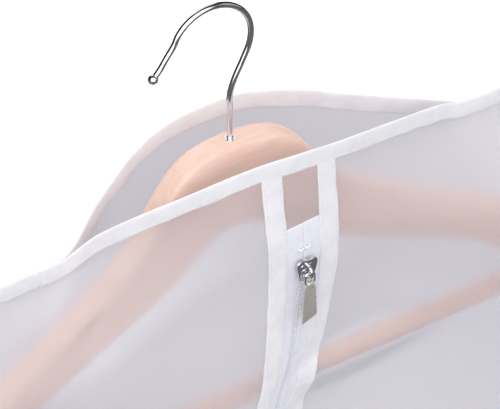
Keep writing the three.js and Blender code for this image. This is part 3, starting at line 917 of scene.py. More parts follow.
# -------------------------------------------------------------------------------- the bag's shape
@dataclass
class BagShape:
    """Where the two film panels hang. u is the distance across from the zip's line, z the height."""

    centre_x: float
    half_width: float
    bottom_z: float
    seam_z: float
    track_top: Vector
    track_down: Vector
    stem_x: float
    head_z: float
    slot_half: float = 117 * MM
    shoulder_drop: float = 62 * MM
    shoulder_start: float = 150 * MM
    corner: float = 30 * MM
    body_back: float = 12 * MM
    binding: float = 10 * MM
    closing_height: float = 60 * MM
    arm_tip: float = 203 * MM
    film_gap: float = 0.3 * MM
    plate_gap: float = 0.7 * MM
    tents: tuple[float, float] = (22.5 * MM, 15 * MM)
    front_lip: tuple = ((-117, 0, 0), (-95, 10.8, 3), (-60, 25.8, 16), (-26, 35.8, 25.5), (0, 35.2, 28),
                        (25, 30.9, 26.5), (64, 18.8, 15), (99, 6.5, 3), (117, 0, 0))
    back_lip: tuple = ((-117, 0, 0), (-81, 11, 19), (-48, 28, 28), (-2, 32.5, 29), (33, 24.5, 25),
                       (58, 15.5, 19), (82, 8, 12.5), (104, 2, 5), (117, 0, 0))

    @classmethod
    def from_frame(cls, joints: Sequence[dict]) -> "BagShape":
        """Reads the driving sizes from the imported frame's boxes and joints.

        Args:
            joints: the record's joints.

        Returns:
            The bag's shape.
        """
        left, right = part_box("zip_strip_left"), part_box("zip_strip_right")
        centre = (left[0][0] + right[1][0]) / 2
        shoulder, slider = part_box("shoulder_binding_left"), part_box("slider_body")
        travel = next(j for j in joints if j["name"] == "zip_travel")
        swivel = next(j for j in joints if j["name"] == "hook_swivel")
        return cls(centre_x=centre, half_width=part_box("side_binding_right")[1][0] - centre,
                   bottom_z=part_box("bottom_binding")[0][2], seam_z=shoulder[1][2],
                   track_top=Vector((centre, TRACK_Y, (slider[0][2] + slider[1][2]) / 2)),
                   track_down=Vector(travel["axis"]).normalized(), stem_x=swivel["pos_m"][0],
                   head_z=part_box("hanger_arm_left")[1][2])

    def lip(self, face: Face, column: int, u: np.ndarray) -> np.ndarray:
        """A lip's rise above the seam (column 1), or its distance out (column 2)."""
        knots = self.front_lip if face is Face.FRONT else self.back_lip
        return curve_through(knots, column, np.asarray(u) / MM) * MM

    def seam_edge(self, u: np.ndarray) -> np.ndarray:
        """The height of the seam that joins the two panels at the top.

        Args:
            u: distances across from the zip's line.

        Returns:
            The seam's height at each.
        """
        across = np.abs(u)
        span = self.half_width - self.shoulder_start
        fall = self.shoulder_drop * np.clip((across - self.shoulder_start) / span, 0, None) ** 1.6
        inside = np.clip(across - (self.half_width - self.corner), 0, self.corner)
        return self.seam_z - fall - (self.corner - np.sqrt(self.corner ** 2 - inside ** 2))

    def edge(self, face: Face, u: np.ndarray) -> np.ndarray:
        """The height of a panel's top edge."""
        return self.seam_edge(u) + self.lip(face, 1, u)

    def track_y(self, z: np.ndarray) -> np.ndarray:
        """The straight line that the slider follows."""
        slope = self.track_down.y / -self.track_down.z
        return self.track_top.y + slope * (self.track_top.z - np.minimum(z, self.track_top.z))

    def front(self, u: np.ndarray, z: np.ndarray) -> np.ndarray:
        """The front film's y.

        Args:
            u: distances across from the zip's line.
            z: heights.

        Returns:
            The y of each point.
        """
        drop = self.edge(Face.FRONT, u) - z - self.binding
        across = np.abs(u / self.half_width)
        bottom = smooth_step((z - self.bottom_z) / self.closing_height)
        tip = self.stem_x + np.where(u < 0, -1, 1) * self.arm_tip - self.centre_x
        tent = np.where(u < 0, self.tents[0], self.tents[1]) * bump(u - tip, 46 * MM)
        tent = tent * bump(z - self.head_z + 135 * MM, 75 * MM) * np.clip(1 - across ** 8, 0, None)
        body = (self.track_y(z) * np.clip(1 - across ** 3, 0, None) - tent) * bottom
        share = smooth_step(drop / (44 * MM))
        return -self.lip(Face.FRONT, 2, u) * (1 - share) + body * share - self.film_gap

    def back(self, u: np.ndarray, z: np.ndarray) -> np.ndarray:
        """The back film's y.

        Args:
            u: distances across from the zip's line.
            z: heights.

        Returns:
            The y of each point.
        """
        drop = self.edge(Face.BACK, u) - z - self.binding
        closing = np.clip(1 - np.abs(u / self.half_width) ** 4, 0, None)
        body = self.body_back * closing * smooth_step((z - self.bottom_z) / self.closing_height)
        share = smooth_step(drop / (70 * MM))
        return self.lip(Face.BACK, 2, u) * (1 - share) + body * share + self.film_gap


@dataclass
class Drape:
    """The film as it really hangs: the plain shape with soft folds, and the zip's gentle wander."""

    shape: BagShape
    hanger: "Hanger"
    clearance: float = 1.3 * MM
    blend: float = 1.0 * MM
    probe: float = 0.5 * MM
    wander_width: float = 70 * MM
    turn_width: float = 55 * MM
    wander: tuple = ((-450, 0), (-350, -7), (-290, -13), (-250, -14.5), (-225, -10.5), (-210, -6),
                     (-195, -3.6), (-180, -2.2), (-165, -1), (-150, 0))
    turn: tuple = ((-480, 0), (-340, 0.22), (-270, 0.42), (-230, 0.42), (-200, 0.3), (-170, 0.18),
                   (-150, 0.1), (-120, 0.08), (-80, 0.05))

    def zip_shift(self, z: np.ndarray) -> np.ndarray:
        """How far the soft zip lies to one side of its straight track at a height."""
        return curve_through(self.wander, 1, np.asarray(z) / MM) * MM

    def point(self, face: Face, u: np.ndarray, z: np.ndarray, lift: np.ndarray | float = 0.0) -> np.ndarray:
        """Points of a panel.

        Args:
            face: which panel.
            u: distances across from the zip's line.
            z: heights.
            lift: how far the points stand out from the film, away from the bag's middle.

        Returns:
            The points, with one more axis of 3 than u.
        """
        u, z = np.broadcast_arrays(np.asarray(u, float), np.asarray(z, float))
        step = self.probe
        depth = self.front_depth if face is Face.FRONT else self.back_depth
        y = depth(u, z)
        slope_u = (depth(u + step, z) - depth(u - step, z)) / (2 * step)
        slope_z = (depth(u, z + step) - depth(u, z - step)) / (2 * step)
        normal = np.stack([-slope_u, np.ones_like(y), -slope_z], -1)
        normal /= np.linalg.norm(normal, axis=-1, keepdims=True)
        base = np.stack([self.shape.centre_x + u + self.shift(face, u, z), y, z], -1)
        return base + normal * (face.value * np.asarray(lift))[..., None]

    def shift(self, face: Face, u: np.ndarray, z: np.ndarray) -> np.ndarray:
        """How far a panel's points move sideways with the zip.

        Args:
            face: which panel.
            u: distances across from the zip's line.
            z: heights.

        Returns:
            The sideways move of each point.
        """
        if face is Face.BACK:
            return np.zeros(np.shape(z))
        return self.zip_shift(z) * bump(u, self.wander_width)

    def front_depth(self, u: np.ndarray, z: np.ndarray) -> np.ndarray:
        """The front film's y with its folds, kept in front of the hanger.

        Args:
            u: distances across from the zip's line.
            z: heights.

        Returns:
            The y of each point.
        """
        s = self.shape
        low = smooth_step((s.edge(Face.FRONT, u) - z - s.binding) / (40 * MM))
        low = low * smooth_step((z - s.bottom_z) / (80 * MM))
        side = np.clip(1 - np.abs(u / s.half_width) ** 6, 0, None)
        turn = curve_through(self.turn, 1, np.asarray(z) / MM)
        y = s.front(u, z) + turn * u * bump(u, self.turn_width)
        soft = 1.6 * np.sin(u / (38 * MM) + 1.3 * np.sin(z / (210 * MM)))
        soft = soft * bump(np.abs(u) - 150 * MM, 90 * MM)
        slant = 1.1 * np.sin((u * 0.8 + z * 0.5) / (27 * MM) + 0.7) * bump(z + 230 * MM, 90 * MM)
        slant = slant * smooth_step((np.abs(u) - 26 * MM) / (30 * MM))
        y = y - (soft + slant) * MM * low * side
        limit = self.hanger.front_limit(s.centre_x + u + self.shift(Face.FRONT, u, z), z) - self.clearance
        return -self.blend * np.logaddexp(-y / self.blend, -limit / self.blend)

    def back_depth(self, u: np.ndarray, z: np.ndarray) -> np.ndarray:
        """The back film's y with its folds.

        Args:
            u: distances across from the zip's line.
            z: heights.

        Returns:
            The y of each point.
        """
        s = self.shape
        low = smooth_step((s.edge(Face.BACK, u) - z - s.binding) / (45 * MM))
        low = low * smooth_step((z - s.bottom_z) / (80 * MM))
        side = np.clip(1 - np.abs(u / s.half_width) ** 6, 0, None)
        soft = 1.8 * np.sin(u / (44 * MM) + 0.8 + np.sin(z / (260 * MM)))
        soft = soft + 1.0 * np.sin((u * 0.6 - z * 0.35) / (31 * MM))
        return s.back(u, z) + soft * MM * low * side


def stations(*spans: tuple[float, float, float]) -> np.ndarray:
    """Places along a line.

    Args:
        spans: (start, end, step) of each span, which is evenly divided.

    Returns:
        The places, with the last span's end among them.
    """
    places: list[float] = []
    for start, end, step in spans:
        count = max(1, round(abs(end - start) / step))
        places += list(np.linspace(start, end, count, endpoint=False))
    return np.array(places + [spans[-1][1]])


# -------------------------------------------------------------------------------- film panels
@dataclass
class FilmPanels:
    """The back panel, the two front panels, and the film above and below the zip."""

    drape: Drape
    thickness: float = 0.24 * MM
    tuck: float = 2.5 * MM
    strip_middle: float = 15 * MM
    fine: float = 2.6 * MM
    coarse: float = 7 * MM
    fine_reach: float = 150 * MM
    rows: int = 190
    short_rows: int = 24
    row_crowding: float = 1.55

    def below(self, face: Face, u: np.ndarray) -> np.ndarray:
        """A panel's own top edge, tucked inside its edging."""
        return self.drape.shape.edge(face, u) - self.tuck

    def level(self, height: float, u: np.ndarray) -> np.ndarray:
        """A level edge at a height."""
        return np.full(np.shape(u), height)

    def sheet(self, name: str, face: Face, across: np.ndarray, top: Callable, bottom: Callable,
              rows: int) -> bpy.types.Object:
        """One piece of film between two edges.

        Args:
            name: the piece's name.
            face: the panel that it belongs to.
            across: its columns' distances from the zip's line.
            top: the top edge's height at a distance.
            bottom: the bottom edge's height at a distance.
            rows: how many rows of points it has.

        Returns:
            The thin closed sheet.
        """
        share = (np.linspace(0, 1, rows) ** self.row_crowding)[:, None]
        u = np.broadcast_to(across[None, :], (rows, len(across)))
        z = top(u) * (1 - share) + bottom(u) * share
        half = self.thickness / 2
        return shell_from_grids(name, self.drape.point(face, u, z, half), self.drape.point(face, u, z, -half))

    def build(self, kit: Kit) -> None:
        """Makes and dresses the panels."""
        s = self.drape.shape
        side = s.half_width - self.tuck
        front_top = partial(self.below, Face.FRONT)
        bottom = partial(self.level, s.bottom_z + self.tuck)
        reach, fine, coarse = self.fine_reach, self.fine, self.coarse
        wide = stations((-side, -reach, coarse), (-reach, reach, fine), (reach, side, coarse))
        back = self.sheet("back_film", Face.BACK, wide, partial(self.below, Face.BACK), bottom, self.rows)
        kit.finish(back, kit.palette.film, "film", "bag", "back_panel")
        for part in Side:
            u = stations((self.strip_middle, reach, fine), (reach, side, coarse)) * part.value
            film = self.sheet(f"front_film_{part.word}", Face.FRONT, np.sort(u), front_top, bottom, self.rows)
            kit.finish(film, kit.palette.film, "film", "bag", f"front_panel_{part.word}")
        tape_foot, tape_top = (corner[2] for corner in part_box("zip_tape_left"))
        middle = np.linspace(-self.strip_middle, self.strip_middle, 13)
        over_tape = partial(self.level, tape_top - 4 * MM)
        bridge = self.sheet("bridge_film", Face.FRONT, middle, front_top, over_tape, self.short_rows)
        kit.finish(bridge, kit.palette.film, "film", "bag", "zip_bridge_panel")
        foot = self.sheet("foot_film", Face.FRONT, middle, partial(self.level, tape_foot + 2 * MM), bottom,
                          self.short_rows)
        kit.finish(foot, kit.palette.film, "film", "bag", "zip_foot_panel")


# -------------------------------------------------------------------------------- edging
@dataclass
class Ribbon:
    """A folded strip that follows a path on a panel: two faces, a round fold and a turned-in edge."""

    width: float = 10 * MM
    half_thick: float = 0.75 * MM

    def section(self, folded: bool) -> list[Corner]:
        """The section's outline.

        Args:
            folded: whether its outer edge is a round fold, and not a second turned-in edge.

        Returns:
            Pairs of a share of the width and a share of the half thickness.
        """
        if folded:
            front = [(1.0, 0.55), (0.97, 0.8), (0.9, 0.92), (0.7, 1.0), (0.5, 1.02), (0.3, 1.0), (0.12, 0.9),
                     (0.04, 0.7), (0.005, 0.35)]
        else:
            front = [(1.0, 0.5), (0.985, 0.85), (0.93, 1.0), (0.75, 0.97), (0.5, 0.93), (0.25, 0.97),
                     (0.07, 1.0), (0.015, 0.85), (0.0, 0.5)]
        return front + [(w, -h) for w, h in reversed(front)]


@dataclass
class Edging:
    """The white edging round both panels and beside the zip, and its stitching."""

    drape: Drape
    ribbon: Ribbon = field(default_factory=Ribbon)
    seam_share: float = 1.7
    overlap: float = 3 * MM
    stitch: float = 2.4 * MM
    pitch: float = 3.1 * MM
    thread: float = 0.16 * MM
    seam_inset: float = 1.6 * MM

    @property
    def in_by(self) -> float:
        """How far in from the edge the seam runs."""
        return self.ribbon.width - self.seam_inset

    def along_top(self, name: str, face: Face | None, u: np.ndarray, seed: int) -> bpy.types.Object:
        """Edging along the top edge.

        Args:
            name: the piece's name.
            face: the panel whose lip it folds over, or None where both panels are sewn together.
            u: stations along the edge, from the zip's line.
            seed: the seed of its small waves.

        Returns:
            The edging.
        """
        s = self.drape.shape
        edge = s.seam_edge if face is None else partial(s.edge, face)
        chance = random.Random(seed)
        phase = [chance.uniform(0, ANY_PHASE) for _ in range(3)]
        wave = 0.25 * MM * (np.sin(u / (7 * MM) + phase[0]) + 0.7 * np.sin(u / (3.1 * MM) + phase[1]))
        puff = 1 + 0.16 * np.sin(u / (5.3 * MM) + phase[2])
        rings = []
        for share, high in self.ribbon.section(True):
            w = share * (self.ribbon.width + wave) - 0.1 * MM
            lift = high * self.ribbon.half_thick * puff
            at_z = edge(u) - w
            if face is None:
                rise = smooth_step((np.abs(u) - s.slot_half + self.overlap) / (5 * self.overlap))
                y = lift * self.seam_share * (0.35 + 0.65 * rise)
                rings.append(np.stack([s.centre_x + u, -y, at_z], -1))
            else:
                rings.append(self.drape.point(face, u, at_z, lift))
        grid = np.stack(rings, 1)
        return loft(name, [[Vector(p) for p in ring] for ring in grid])

    def straight(self, name: str, start: Vector, end: Vector, inward: Vector, seed: int) -> bpy.types.Object:
        """Edging along a straight side or the bottom, with both panels sewn inside it.

        Args:
            name: the piece's name.
            start: one end of its outer edge.
            end: the other end.
            inward: the direction from its outer edge to the bag's middle.
            seed: the seed of its small waves.

        Returns:
            The edging.
        """
        phase = random.Random(seed).uniform(0, ANY_PHASE)
        count = int((end - start).length / (6 * MM))
        rings = []
        for i in range(count + 1):
            middle = start.lerp(end, i / count)
            wave = 0.35 * MM * math.sin(i * 0.9 + phase) + 0.2 * MM * math.sin(i * 2.3)
            puff = 1 + 0.15 * math.sin(i * 1.7 + phase)
            rings.append([middle + inward * (share * (self.ribbon.width + wave))
                          + Vector((0, -1, 0)) * (high * self.ribbon.half_thick * self.seam_share * puff)
                          for share, high in self.ribbon.section(True)])
        return loft(name, rings)

    def stitches(self, name: str, places: np.ndarray, normals: np.ndarray) -> bpy.types.Object:
        """A row of lockstitches, each a short thread that dips in at its ends.

        Args:
            name: the piece's name.
            places: the seam's points, close together.
            normals: the direction that faces out at each point.

        Returns:
            The row of stitches.
        """
        length = np.concatenate([[0], np.cumsum(np.linalg.norm(np.diff(places, axis=0), axis=1))])
        points, faces = [], []
        radius = self.thread
        for start in np.arange(self.pitch / 2, length[-1] - self.pitch, self.pitch):
            ring_at = [start, start + self.stitch * 0.25, start + self.stitch * 0.75, start + self.stitch]
            base = len(points)
            for k, where in enumerate(ring_at):
                centre, beyond = (np.array([np.interp(at, length, places[:, c]) for c in range(3)])
                                  for at in (where, where + 0.1 * MM))
                normal = np.array([np.interp(where, length, normals[:, c]) for c in range(3)])
                ahead = beyond - centre
                ahead /= np.linalg.norm(ahead) + NEARLY_NONE * MM
                across = np.cross(ahead, normal)
                lift = radius * (-0.9 if k in (0, 3) else 0.6)
                for a, b in ((1, 0), (0, 1), (-1, 0), (0, -1)):
                    points.append(centre + normal * (lift + b * radius) + across * a * radius)
            faces += ring_faces(len(ring_at), 4, base)
        return recalculate(mesh_object(name, np.array(points), faces))

    def seam(self, name: str, face: Face, u: np.ndarray | float, z: np.ndarray,
             lift: float) -> bpy.types.Object:
        """Stitches that run over a panel.

        Args:
            name: the piece's name.
            face: which panel.
            u: the seam's distances across from the zip's line.
            z: its heights.
            lift: how far it stands out from the film.

        Returns:
            The row of stitches.
        """
        places = self.drape.point(face, u, z, lift)
        normals = (self.drape.point(face, u, z, lift + MM) - places) / MM
        return self.stitches(name, places, normals)

    def build(self, kit: Kit) -> None:
        """Makes and dresses the edging and its stitching."""
        s = self.drape.shape
        cloth, thread = kit.palette.edging, kit.palette.thread
        for face, word, seed in ((Face.FRONT, "front", 3), (Face.BACK, "back", 5)):
            end = s.slot_half + 3 * self.overlap
            u = stations((-end, end, 1.6 * MM))
            kit.finish(self.along_top(f"neck_edging_{word}", face, u, seed), cloth, "binding", "bag",
                       f"neck_binding_{word}")
            inner = stations((-s.slot_half + 4 * MM, s.slot_half - 4 * MM, MM))
            row = self.seam(f"neck_stitching_{word}", face, inner, s.edge(face, inner) - self.in_by,
                            self.ribbon.half_thick)
            kit.finish(row, thread, "binding", "bag")
        side = s.half_width - 0.2 * MM
        for part in Side:
            u = np.sort(stations((s.slot_half - self.overlap, s.half_width - s.corner, 3 * MM),
                                 (s.half_width - s.corner, side, 1.2 * MM)) * part.value)
            shoulder = self.along_top(f"shoulder_edging_{part.word}", None, u, 11 + part.value)
            kit.finish(shoulder, cloth, "binding", "bag", f"shoulder_binding_{part.word}")
            x = s.centre_x + part.value * side
            high = float(s.seam_edge(np.array(side)))
            edge = self.straight(f"side_edging_{part.word}", Vector((x, 0, high + 3 * MM)),
                                 Vector((x, 0, s.bottom_z)), Vector((-part.value, 0, 0)), 21 + part.value)
            kit.finish(edge, cloth, "binding", "bag", f"side_binding_{part.word}")
        low = self.straight("bottom_edging", Vector((s.centre_x - side, 0, s.bottom_z)),
                            Vector((s.centre_x + side, 0, s.bottom_z)), Vector((0, 0, 1)), 31)
        kit.finish(low, cloth, "binding", "bag", "bottom_binding")
        self.side_stitching(kit)

    def side_stitching(self, kit: Kit) -> None:
        """The seams of the sides, the bottom and the shoulders, on both faces."""
        s = self.drape.shape
        in_by = self.in_by
        out = self.ribbon.half_thick * self.seam_share
        rows = []
        for face in Face:
            normal = np.array([0.0, face.value, 0.0])
            for part in Side:
                z = stations((float(s.seam_edge(np.array(s.half_width - in_by))), s.bottom_z + in_by, 3 * MM))
                x = np.full(z.shape, s.centre_x + part.value * (s.half_width - in_by))
                rows.append((np.stack([x, np.full(z.shape, face.value * out), z], -1), normal))
                u = part.value * stations((s.slot_half, s.half_width - in_by, 2 * MM))
                rows.append((np.stack([s.centre_x + u, np.full(u.shape, face.value * out),
                                       s.seam_edge(u) - in_by], -1), normal))
            x = stations((s.centre_x - s.half_width + in_by, s.centre_x + s.half_width - in_by, 3 * MM))
            rows.append((np.stack([x, np.full(x.shape, face.value * out),
                                   np.full(x.shape, s.bottom_z + in_by)], -1), normal))
        made = [self.stitches(f"row{i}", places, np.broadcast_to(normal, places.shape))
                for i, (places, normal) in enumerate(rows)]
        kit.finish(joined("outer_stitching", made), kit.palette.thread, "binding", "bag")


# -------------------------------------------------------------------------------- zip
@dataclass
class Zip:
    """The two white strips, the woven tapes, the coil and its stops."""

    drape: Drape
    edging: Edging
    strip: tuple[float, float] = (10 * MM, 21 * MM)
    strip_thick: float = 0.5 * MM
    strip_lift: float = 0.55 * MM
    strip_seam: float = 1.5 * MM
    tape_thick: float = 0.3 * MM
    tooth_pitch: float = 1.35 * MM
    tooth_radius: float = 0.42 * MM

    def band(self, name: str, span: tuple[float, float], z: np.ndarray, lift: float, half_thick: float,
             seed: int, follows_lip: bool = False) -> bpy.types.Object:
        """A flat strip down the front film with soft edges.

        Args:
            name: the piece's name.
            span: its two edges' distances from the zip's line.
            z: its stations from the top down.
            lift: its middle's distance out from the film.
            half_thick: half its thickness.
            seed: the seed of its edges' small waves.
            follows_lip: whether its top end slants with the bag's top edge and dips under the edging.

        Returns:
            The strip.
        """
        phase = random.Random(seed).uniform(0, ANY_PHASE)
        middle, half = sum(span) / 2, (span[1] - span[0]) / 2
        wave = 0.12 * MM * (np.sin(z / (6 * MM) + phase) + 0.8 * np.sin(z / (2.7 * MM)))
        depth = z[0] - z
        edge = partial(self.drape.shape.edge, Face.FRONT)
        rings = []
        for share, high in self.edging.ribbon.section(False):
            u = middle + (share * 2 - 1) * (half + wave)
            at_z, out = z, lift
            if follows_lip:
                at_z = z + (edge(u) - edge(np.array(middle))) * (1 - smooth_step(depth / (25 * MM)))
                out = lift * (0.25 + 0.75 * smooth_step(depth / (8 * MM)))
            rings.append(self.drape.point(Face.FRONT, u, at_z, out + high * half_thick))
        grid = np.stack(rings, 1)
        return loft(name, [[Vector(p) for p in ring] for ring in grid])

    def build(self, kit: Kit) -> None:
        """Makes and dresses the zip."""
        s = self.drape.shape
        tape_low, tape_high = (corner[2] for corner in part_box("zip_tape_left"))
        coil_low, coil_high = (corner[2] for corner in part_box("zip_coil_left"))
        for part in Side:
            sign = part.value
            top = float(s.edge(Face.FRONT, np.array(sign * 15.5 * MM))) - self.edging.ribbon.width * 0.85
            z = stations((top, top - 200 * MM, 1.5 * MM), (top - 200 * MM, s.bottom_z + 6 * MM, 5 * MM))
            span = (sign * self.strip[0], sign * self.strip[1])
            strip = self.band(f"zip_edging_{part.word}", (min(span), max(span)), z, self.strip_lift,
                              self.strip_thick, 41, follows_lip=True)
            kit.finish(strip, kit.palette.edging, "binding", "bag", f"zip_strip_{part.word}")
            for k, inset in enumerate((self.strip_seam, self.strip[1] - self.strip[0] - self.strip_seam)):
                u = sign * (self.strip[0] + inset)
                row = self.edging.seam(f"zip_stitching_{part.word}_{k}", Face.FRONT, u, z[z < top - 2.5 * MM],
                                       self.strip_lift + self.strip_thick)
                kit.finish(row, kit.palette.thread, "binding", "bag")
            tape_z = stations((tape_high, tape_high - 160 * MM, 1.5 * MM),
                              (tape_high - 160 * MM, tape_low, 5 * MM))
            tape_span = (sign * 0.03 * MM, sign * (self.strip[0] + 4 * MM))
            tape = self.band(f"tape_{part.word}", (min(tape_span), max(tape_span)), tape_z, 0.0,
                             self.tape_thick, 51)
            kit.finish(tape, kit.palette.tape, "zip_tape", "bag", f"zip_tape_{part.word}")
            teeth = self.teeth(f"coil_{part.word}", sign, coil_high - 9 * MM, coil_low)
            kit.finish(teeth, kit.palette.coil, "coil", "bag", f"zip_coil_{part.word}")
            stop = self.stop(f"top_stop_{part.word}", sign * 1.9 * MM, coil_high + 2 * MM, 1.3 * MM)
            kit.finish(stop, kit.palette.coil, "coil", "bag", f"zip_top_stop_{part.word}")
        foot = self.stop("bottom_stop", 0.0, coil_low - 3 * MM, 2.9 * MM)
        kit.finish(foot, kit.palette.chrome, "chrome", "bag", "zip_bottom_stop")

    def teeth(self, name: str, sign: int, high: float, low: float) -> bpy.types.Object:
        """One side's coil, a bent loop of wire at each pitch.

        Args:
            name: the piece's name.
            sign: -1 on the left, 1 on the right.
            high: the height of its top.
            low: the height of its foot.

        Returns:
            The coil.
        """
        offset = self.tooth_pitch / 2 if sign > 0 else 0.0
        heights = np.arange(high - offset, low, -self.tooth_pitch)
        corner = [(3.0, 0.35), (2.3, 1.25), (0.4, 1.5), (-0.55, 1.05), (-0.55, 0.7), (0.4, 0.5), (2.3, 0.4)]
        points, faces = [], []
        sides = 5
        for z in heights:
            u = np.array([sign * c[0] * MM for c in corner])
            lift = np.array([c[1] * MM for c in corner])
            tilt = np.linspace(0, -0.35 * self.tooth_pitch, len(corner))
            middle = self.drape.point(Face.FRONT, u, z + tilt, lift)
            base = len(points)
            for k, centre in enumerate(middle):
                along = middle[min(k + 1, len(middle) - 1)] - middle[max(k - 1, 0)]
                along /= np.linalg.norm(along)
                first = np.cross(along, (0, 0, 1.0))
                first /= np.linalg.norm(first)
                second = np.cross(along, first)
                for t in np.linspace(0, FULL_TURN, sides, endpoint=False):
                    points.append(centre + (first * math.cos(t) + second * math.sin(t)) * self.tooth_radius)
            faces += ring_faces(len(corner), sides, base)
        return recalculate(mesh_object(name, np.array(points), faces))

    def stop(self, name: str, u: float, z: float, half: float) -> bpy.types.Object:
        """A small bent clip across the tape.

        Args:
            name: the piece's name.
            u: its middle's distance from the zip's line.
            z: its height.
            half: half its width.

        Returns:
            The clip.
        """
        turn = np.linspace(0, math.pi, 9)
        across = u + half * np.cos(turn)
        lift = 0.3 * MM + 1.3 * MM * np.sin(turn) ** 0.5
        path = [Vector(p) for p in self.drape.point(Face.FRONT, across, z, lift)]
        clip = tube(name, spaced(path, 24), 0.55 * MM, 10)
        clip.data.transform(Matrix.Translation((0, 0, z)) @ Matrix.Diagonal((1, 1, 2.2, 1))
                            @ Matrix.Translation((0, 0, -z)))
        return clip


@dataclass
class Slider:
    """The slider's plates and bail, its wire link and the pull tab."""

    shape: BagShape
    half_width: float = 5.9 * MM
    half_length: float = 6.3 * MM
    wire: float = 0.62 * MM

    def outline(self, scale: float = 1.0) -> list[Corner]:
        """The plate's outline, with wide shoulders at the top and a narrower foot.

        Args:
            scale: its size beside the front plate's.

        Returns:
            Its (x, z) corners.
        """
        w, h = self.half_width * scale, self.half_length * scale
        shares = [(0.0, 0.92), (0.35, 0.98), (0.72, 1.0), (0.95, 0.86), (1.0, 0.55), (0.93, 0.1), (0.8, -0.4),
                  (0.74, -0.85), (0.62, -0.98), (0.3, -1.0)]
        right = [(across * w, up * h) for across, up in shares]
        return right + [(-x, z) for x, z in reversed(right[1:])]

    def place(self, piece: bpy.types.Object) -> bpy.types.Object:
        """Leans a piece with the track and moves it to the slider's place.

        Args:
            piece: the piece, made about the slider's own middle.

        Returns:
            The same piece.
        """
        s = self.shape
        lean = math.atan2(s.track_down.y, -s.track_down.z)
        move = Matrix.Translation((s.centre_x, s.track_top.y - s.plate_gap, s.track_top.z)) @ Matrix.Rotation(
            lean, 4, "X")
        piece.data.transform(move)
        return piece

    def build(self, kit: Kit) -> None:
        """Makes and dresses the slider and its pull."""
        front = plate("front_plate", self.outline(), -3.7 * MM, -2.45 * MM, 0.45 * MM)
        raised = plate("raised_face", self.outline(0.66), -4.0 * MM, -3.5 * MM, 0.25 * MM)
        back = plate("back_plate", self.outline(0.98), 0.8 * MM, 1.85 * MM, 0.35 * MM)
        post = plate("post", [(-0.7 * MM, 2.2 * MM), (0.7 * MM, 2.2 * MM), (1.0 * MM, 5.0 * MM),
                              (-1.0 * MM, 5.0 * MM)], -3.0 * MM, 1.2 * MM, 0.2 * MM)
        rails = []
        for sign in (-1, 1):
            near, far = sign * 3.75 * MM, sign * 4.9 * MM
            corners = [(near, 4.2 * MM), (far, 4.0 * MM), (sign * 4.0 * MM, -4.6 * MM),
                       (sign * 3.6 * MM, -4.6 * MM)]
            rails.append(plate(f"rail{sign}", corners, -3.2 * MM, -0.75 * MM, 0.2 * MM))
        body = joined("zip_slider", [front, raised, back, post, *rails])
        kit.finish(self.place(body), kit.palette.chrome, "chrome", "slider", "slider_body")

        arch = [Vector((0, y * MM, z * MM)) for y, z in
                ((-3.6, 3.4), (-4.7, 3.5), (-6.6, 2.9), (-7.65, 1.4), (-7.85, -0.3), (-7.4, -2.0),
                 (-6.1, -3.2), (-4.7, -3.6), (-3.6, -3.5))]
        bail = tube("slider_bail_arch", catmull(arch, 40), self.wire, 14)
        bail.data.transform(Matrix.Diagonal((1.45, 1, 1, 1)))
        kit.finish(self.place(bail), kit.palette.chrome, "chrome", "slider", "slider_bail")
        self.build_pull(kit)

    def build_pull(self, kit: Kit) -> None:
        """The wire link and the tab that hang from the bail."""
        low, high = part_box("pull_link")
        middle_y = (low[1] + high[1]) / 2
        wire = self.wire
        x, top, foot = self.shape.centre_x, high[2] - 0.6 * MM, low[2] + 0.6 * MM
        half, bend = 2.6 * MM, 1.7 * MM
        corners = []
        for sx, sz, start in ((1, 1, 0), (-1, 1, 90), (-1, -1, 180), (1, -1, 270)):
            centre_z = top - bend if sz > 0 else foot + bend
            for k in range(7):
                turn = math.radians(start + 15 * k)
                corners.append(Vector((x + sx * (half - bend) + bend * math.cos(turn), middle_y,
                                       centre_z + bend * math.sin(turn))))
        link = tube("wire_link", corners, wire, 14, closed=True)
        kit.finish(link, kit.palette.chrome, "chrome", "link", "pull_link")

        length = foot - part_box("pull_tab")[0][2]
        neck, waist, wide = 1.75 * MM, 3.1 * MM, 4.3 * MM
        outline = [(-neck, 0.2 * MM), (-waist, -2.4 * MM), (-wide, -length + 0.6 * MM),
                   (wide, -length + 4.2 * MM), (waist, -2.4 * MM), (neck, 0.2 * MM)]
        shape = rounded([(x + px, foot + pz) for px, pz in outline], 0.9 * MM)
        tab = plate("tab_plate", shape, middle_y - 0.5 * MM, middle_y + 0.5 * MM, 0.22 * MM)
        sleeve = tube("tab_sleeve", [Vector((x + t * MM, middle_y, foot)) for t in
                                     (-1.75, -1.6, -1.0, 0, 1.0, 1.6, 1.75)],
                      [1.2 * MM, 1.45 * MM, 1.5 * MM, 1.5 * MM, 1.5 * MM, 1.45 * MM, 1.2 * MM], 20)
        whole = joined("satin_pull_tab", [tab, sleeve])
        kit.finish(whole, kit.palette.satin, "pull_metal", "tab", "pull_tab")


